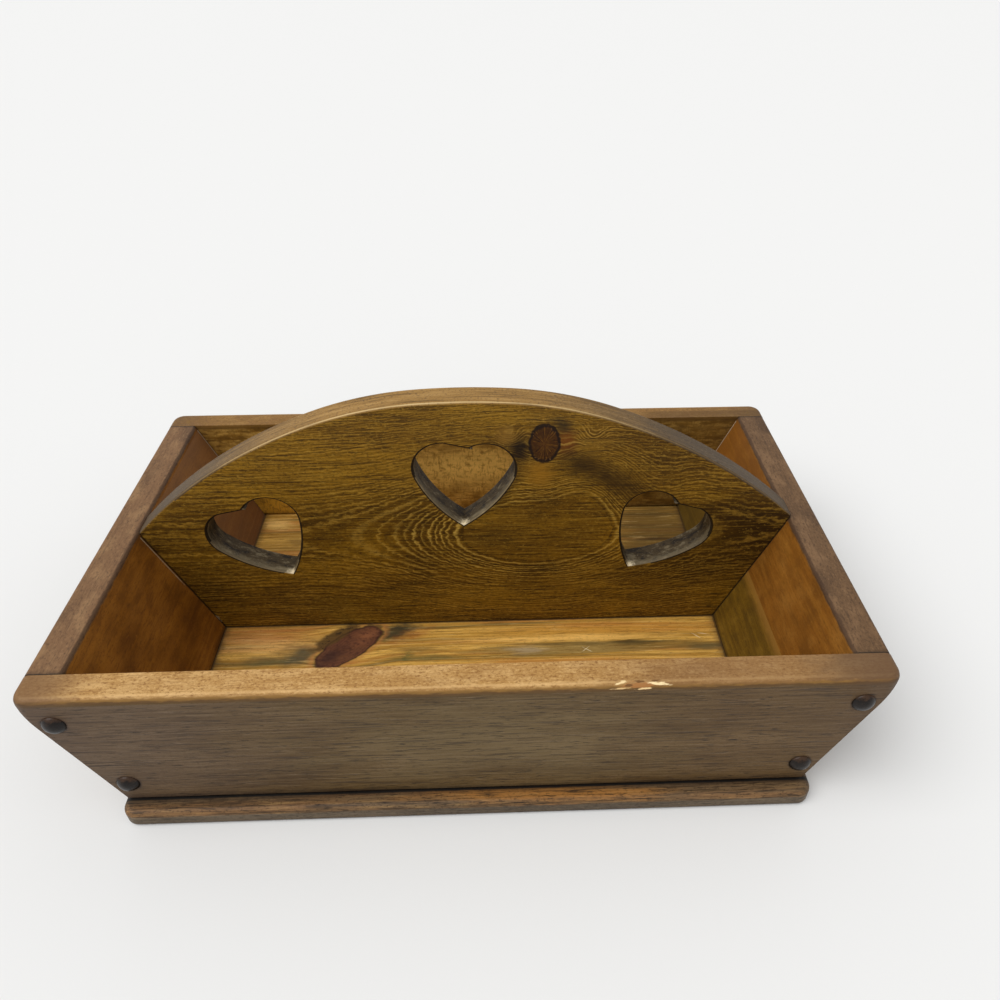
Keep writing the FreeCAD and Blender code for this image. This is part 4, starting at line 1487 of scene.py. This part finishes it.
def button_plug(name, place, outward, lean):
    """A plug with its head against a panel's face.  outward is -1 at the front, 1 at the back."""
    rise = PLUG_HEAD_HEIGHT - PLUG_RIM - PLUG_INSET
    dome_radius = (PLUG_HEAD_RADIUS ** 2 + rise ** 2) / (2 * rise)
    let_go()
    bpy.ops.mesh.primitive_uv_sphere_add(segments=40, ring_count=40, radius=dome_radius * MM)
    plug = bpy.context.active_object
    plug.name = name
    plug.data.name = name
    bpy.ops.object.mode_set(mode="EDIT")
    rim_height = dome_radius - rise
    bpy.ops.mesh.select_all(action="SELECT")
    bpy.ops.mesh.bisect(plane_co=(0, 0, rim_height * MM), plane_no=(0, 0, 1),
                        use_fill=False, clear_inner=True)
    pick("EDGE", lambda m, edge: edge.is_boundary)
    bpy.ops.mesh.extrude_region_move(TRANSFORM_OT_translate={"value": (0, 0, -PLUG_RIM * MM)})
    bpy.ops.mesh.extrude_region_move(TRANSFORM_OT_translate={"value": (0, 0, 0)})
    shrink = PLUG_TENON_RADIUS / PLUG_HEAD_RADIUS
    bpy.ops.transform.resize(value=(shrink, shrink, 1),
                             center_override=(0, 0, (rim_height - PLUG_RIM) * MM))
    bpy.ops.mesh.extrude_region_move(TRANSFORM_OT_translate={"value": (0, 0, -PLUG_TENON_LENGTH * MM)})
    bpy.ops.mesh.edge_face_add()
    pick("EDGE", lambda m, edge: len(edge.link_faces) == 2 and abs(m.z - rim_height) < 0.05)
    ease(PLUG_EASE, segments=2)
    bpy.ops.object.mode_set(mode="OBJECT")
    seat = Matrix.Translation((0, 0, (PLUG_RIM - rim_height) * MM))
    tip = Matrix.Rotation(math.radians(lean), 4, "Z")
    face = Matrix.Rotation(math.radians(90 if outward < 0 else -90), 4, "X")
    plug.matrix_world = Matrix.Translation([value * MM for value in place]) @ face @ tip @ seat
    only(plug)
    bpy.ops.object.transform_apply(location=True, rotation=True, scale=True)
    return plug


# %% [markdown]
# The plugs are hardwood stained almost black and varnished, so they are glossier than the boards.
# Rubbing has greyed the high part of each rim, and painted light brightens the part of each head that
# faces up.

# %% Finish of the plugs
def plug_finish():
    """Black stained hardwood, lighter where it faces up, partly from rubbing and partly painted light."""
    material, tree = new_finish("beech_black_stain_button")
    place = board_place(tree)
    speckle, cloud = [stretched_noise(place, *grain) for grain in (
        ((1.4, 1.4, 1.0), 4.0, 0.7), ((5, 5, 4), 2.0, 0.5, 3.0))]
    upward = add("SeparateXYZ", {0: add("NewGeometry", {}, tree=tree, out=1)}, out=2)
    # Lighter where the head faces up: partly rubbing, partly painted light.
    rubbed_and_lit = ragged_ramp(place, upward, 0.42, 0.75, reach=0.25, grit=(2.5, 2.5, 2.5))
    colour = colour_layers("16100c", [
        ("261d16", 0.7, cloud, 0.48, 0.7),
        ("0a0706", 0.7, speckle, 0.5, 0.36),
        ("44372c", 0.4, speckle, 0.6, 0.72),
        ("543a26", 0.5, rubbed_and_lit),
    ])
    varnished(colour, speckle, gloss_low=0.22, gloss_high=0.4, relief_mm=0.12, shine=0.25)
    return material


plug_material = plug_finish()
for panel_name, outward, face_y in (("front", -1, panel_low[1]), ("back", 1, back_high[1])):
    for index, (x_mm, z_mm) in enumerate(plug_places()):
        level = "upper" if index < 2 else "lower"
        side_name = "left" if x_mm < 0 else "right"
        plug = button_plug(f"{panel_name}_{side_name}_{level}_button", (x_mm, face_y, z_mm), outward,
                           lean=PLUG_TURN * index)
        finish_piece(plug, plug_material, f"{panel_name}_{level}_plugs")


# %% [markdown]
# ## Screws
#
# Each plug covers a wood screw of zinc-plated steel.  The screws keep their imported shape, because none
# of them shows, and get a brushed metal finish: fine scratches round the axis and dull spots of age.

# %% Finish of the screws
def screw_finish():
    """Zinc plating with fine scratches and dull spots."""
    material, tree = new_finish("zinc_plated_steel_screw")
    place = board_place(tree)
    scratch, bloom = [stretched_noise(place, *grain) for grain in (
        ((0.5, 6.0, 0.5), 4.0, 0.7, 2.0), ((3.0, 3.0, 3.0), 3.0, 0.5, 5.0))]
    colour = colour_layers("9a9c9c", [
        ("6e6c66", 0.6, bloom, 0.52, 0.68),
        ("c4c6c6", 0.4, scratch, 0.55, 0.7),
    ])
    tree.nodes["Principled BSDF"].inputs["Metallic"].default_value = 1.0
    varnished(colour, scratch, gloss_low=0.25, gloss_high=0.45, relief_mm=0.03, shine=0.5)
    return material


screw_material = screw_finish()
for name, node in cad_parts.items():
    if name.endswith("screws"):
        node.data.materials.clear()
        node.data.materials.append(screw_material)
        print(name, "finished in", screw_material.name)

# %% [markdown]
# ## Floor and light
#
# The floor is a wide sheet of matt white paper, which keeps the tote's soft shadow.  The room is a
# white world, and one broad light stands high on the left, like a window with a blind.  The light is
# far away, so the floor is equally bright everywhere, and a colour renders about as it is written.

# %% Floor
FLOOR_WIDTH = 30.0          # metres

let_go()
bpy.ops.mesh.primitive_plane_add(size=FLOOR_WIDTH, location=(0, 0, 0))
floor = bpy.context.active_object
floor.name = "floor"
floor_material, floor_tree = new_finish("white_paper")
floor_shader = floor_tree.nodes["Principled BSDF"]
floor_shader.inputs["Base Color"].default_value = hex_colour("e6e6e5")
floor_shader.inputs["Roughness"].default_value = 0.9
floor_shader.inputs["Specular IOR Level"].default_value = 0.2
floor.data.materials.append(floor_material)

# %% World and lamp
WORLD_STRENGTH = 0.66
WINDOW_STRENGTH = 1.88
WINDOW_ANGLE = 50           # degrees across, for soft shadows
WINDOW_PLACE = (-0.75, -0.35, 1.25)     # the light shines from here to the middle

world = bpy.data.worlds.new("white room")
bpy.context.scene.world = world
world.use_nodes = True
world.node_tree.nodes["Background"].inputs["Color"].default_value = (1, 1, 1, 1)
world.node_tree.nodes["Background"].inputs["Strength"].default_value = WORLD_STRENGTH

window_data = bpy.data.lights.new("window_light", "SUN")
window_data.energy = WINDOW_STRENGTH
window_data.angle = math.radians(WINDOW_ANGLE)
window_light = bpy.data.objects.new("window_light", window_data)
bpy.context.scene.collection.objects.link(window_light)
window_light.location = WINDOW_PLACE
window_light.rotation_euler = Vector(WINDOW_PLACE).to_track_quat("Z", "Y").to_euler()
bpy.context.scene.view_settings.view_transform = "Standard"
print("world", WORLD_STRENGTH, "window", WINDOW_STRENGTH)
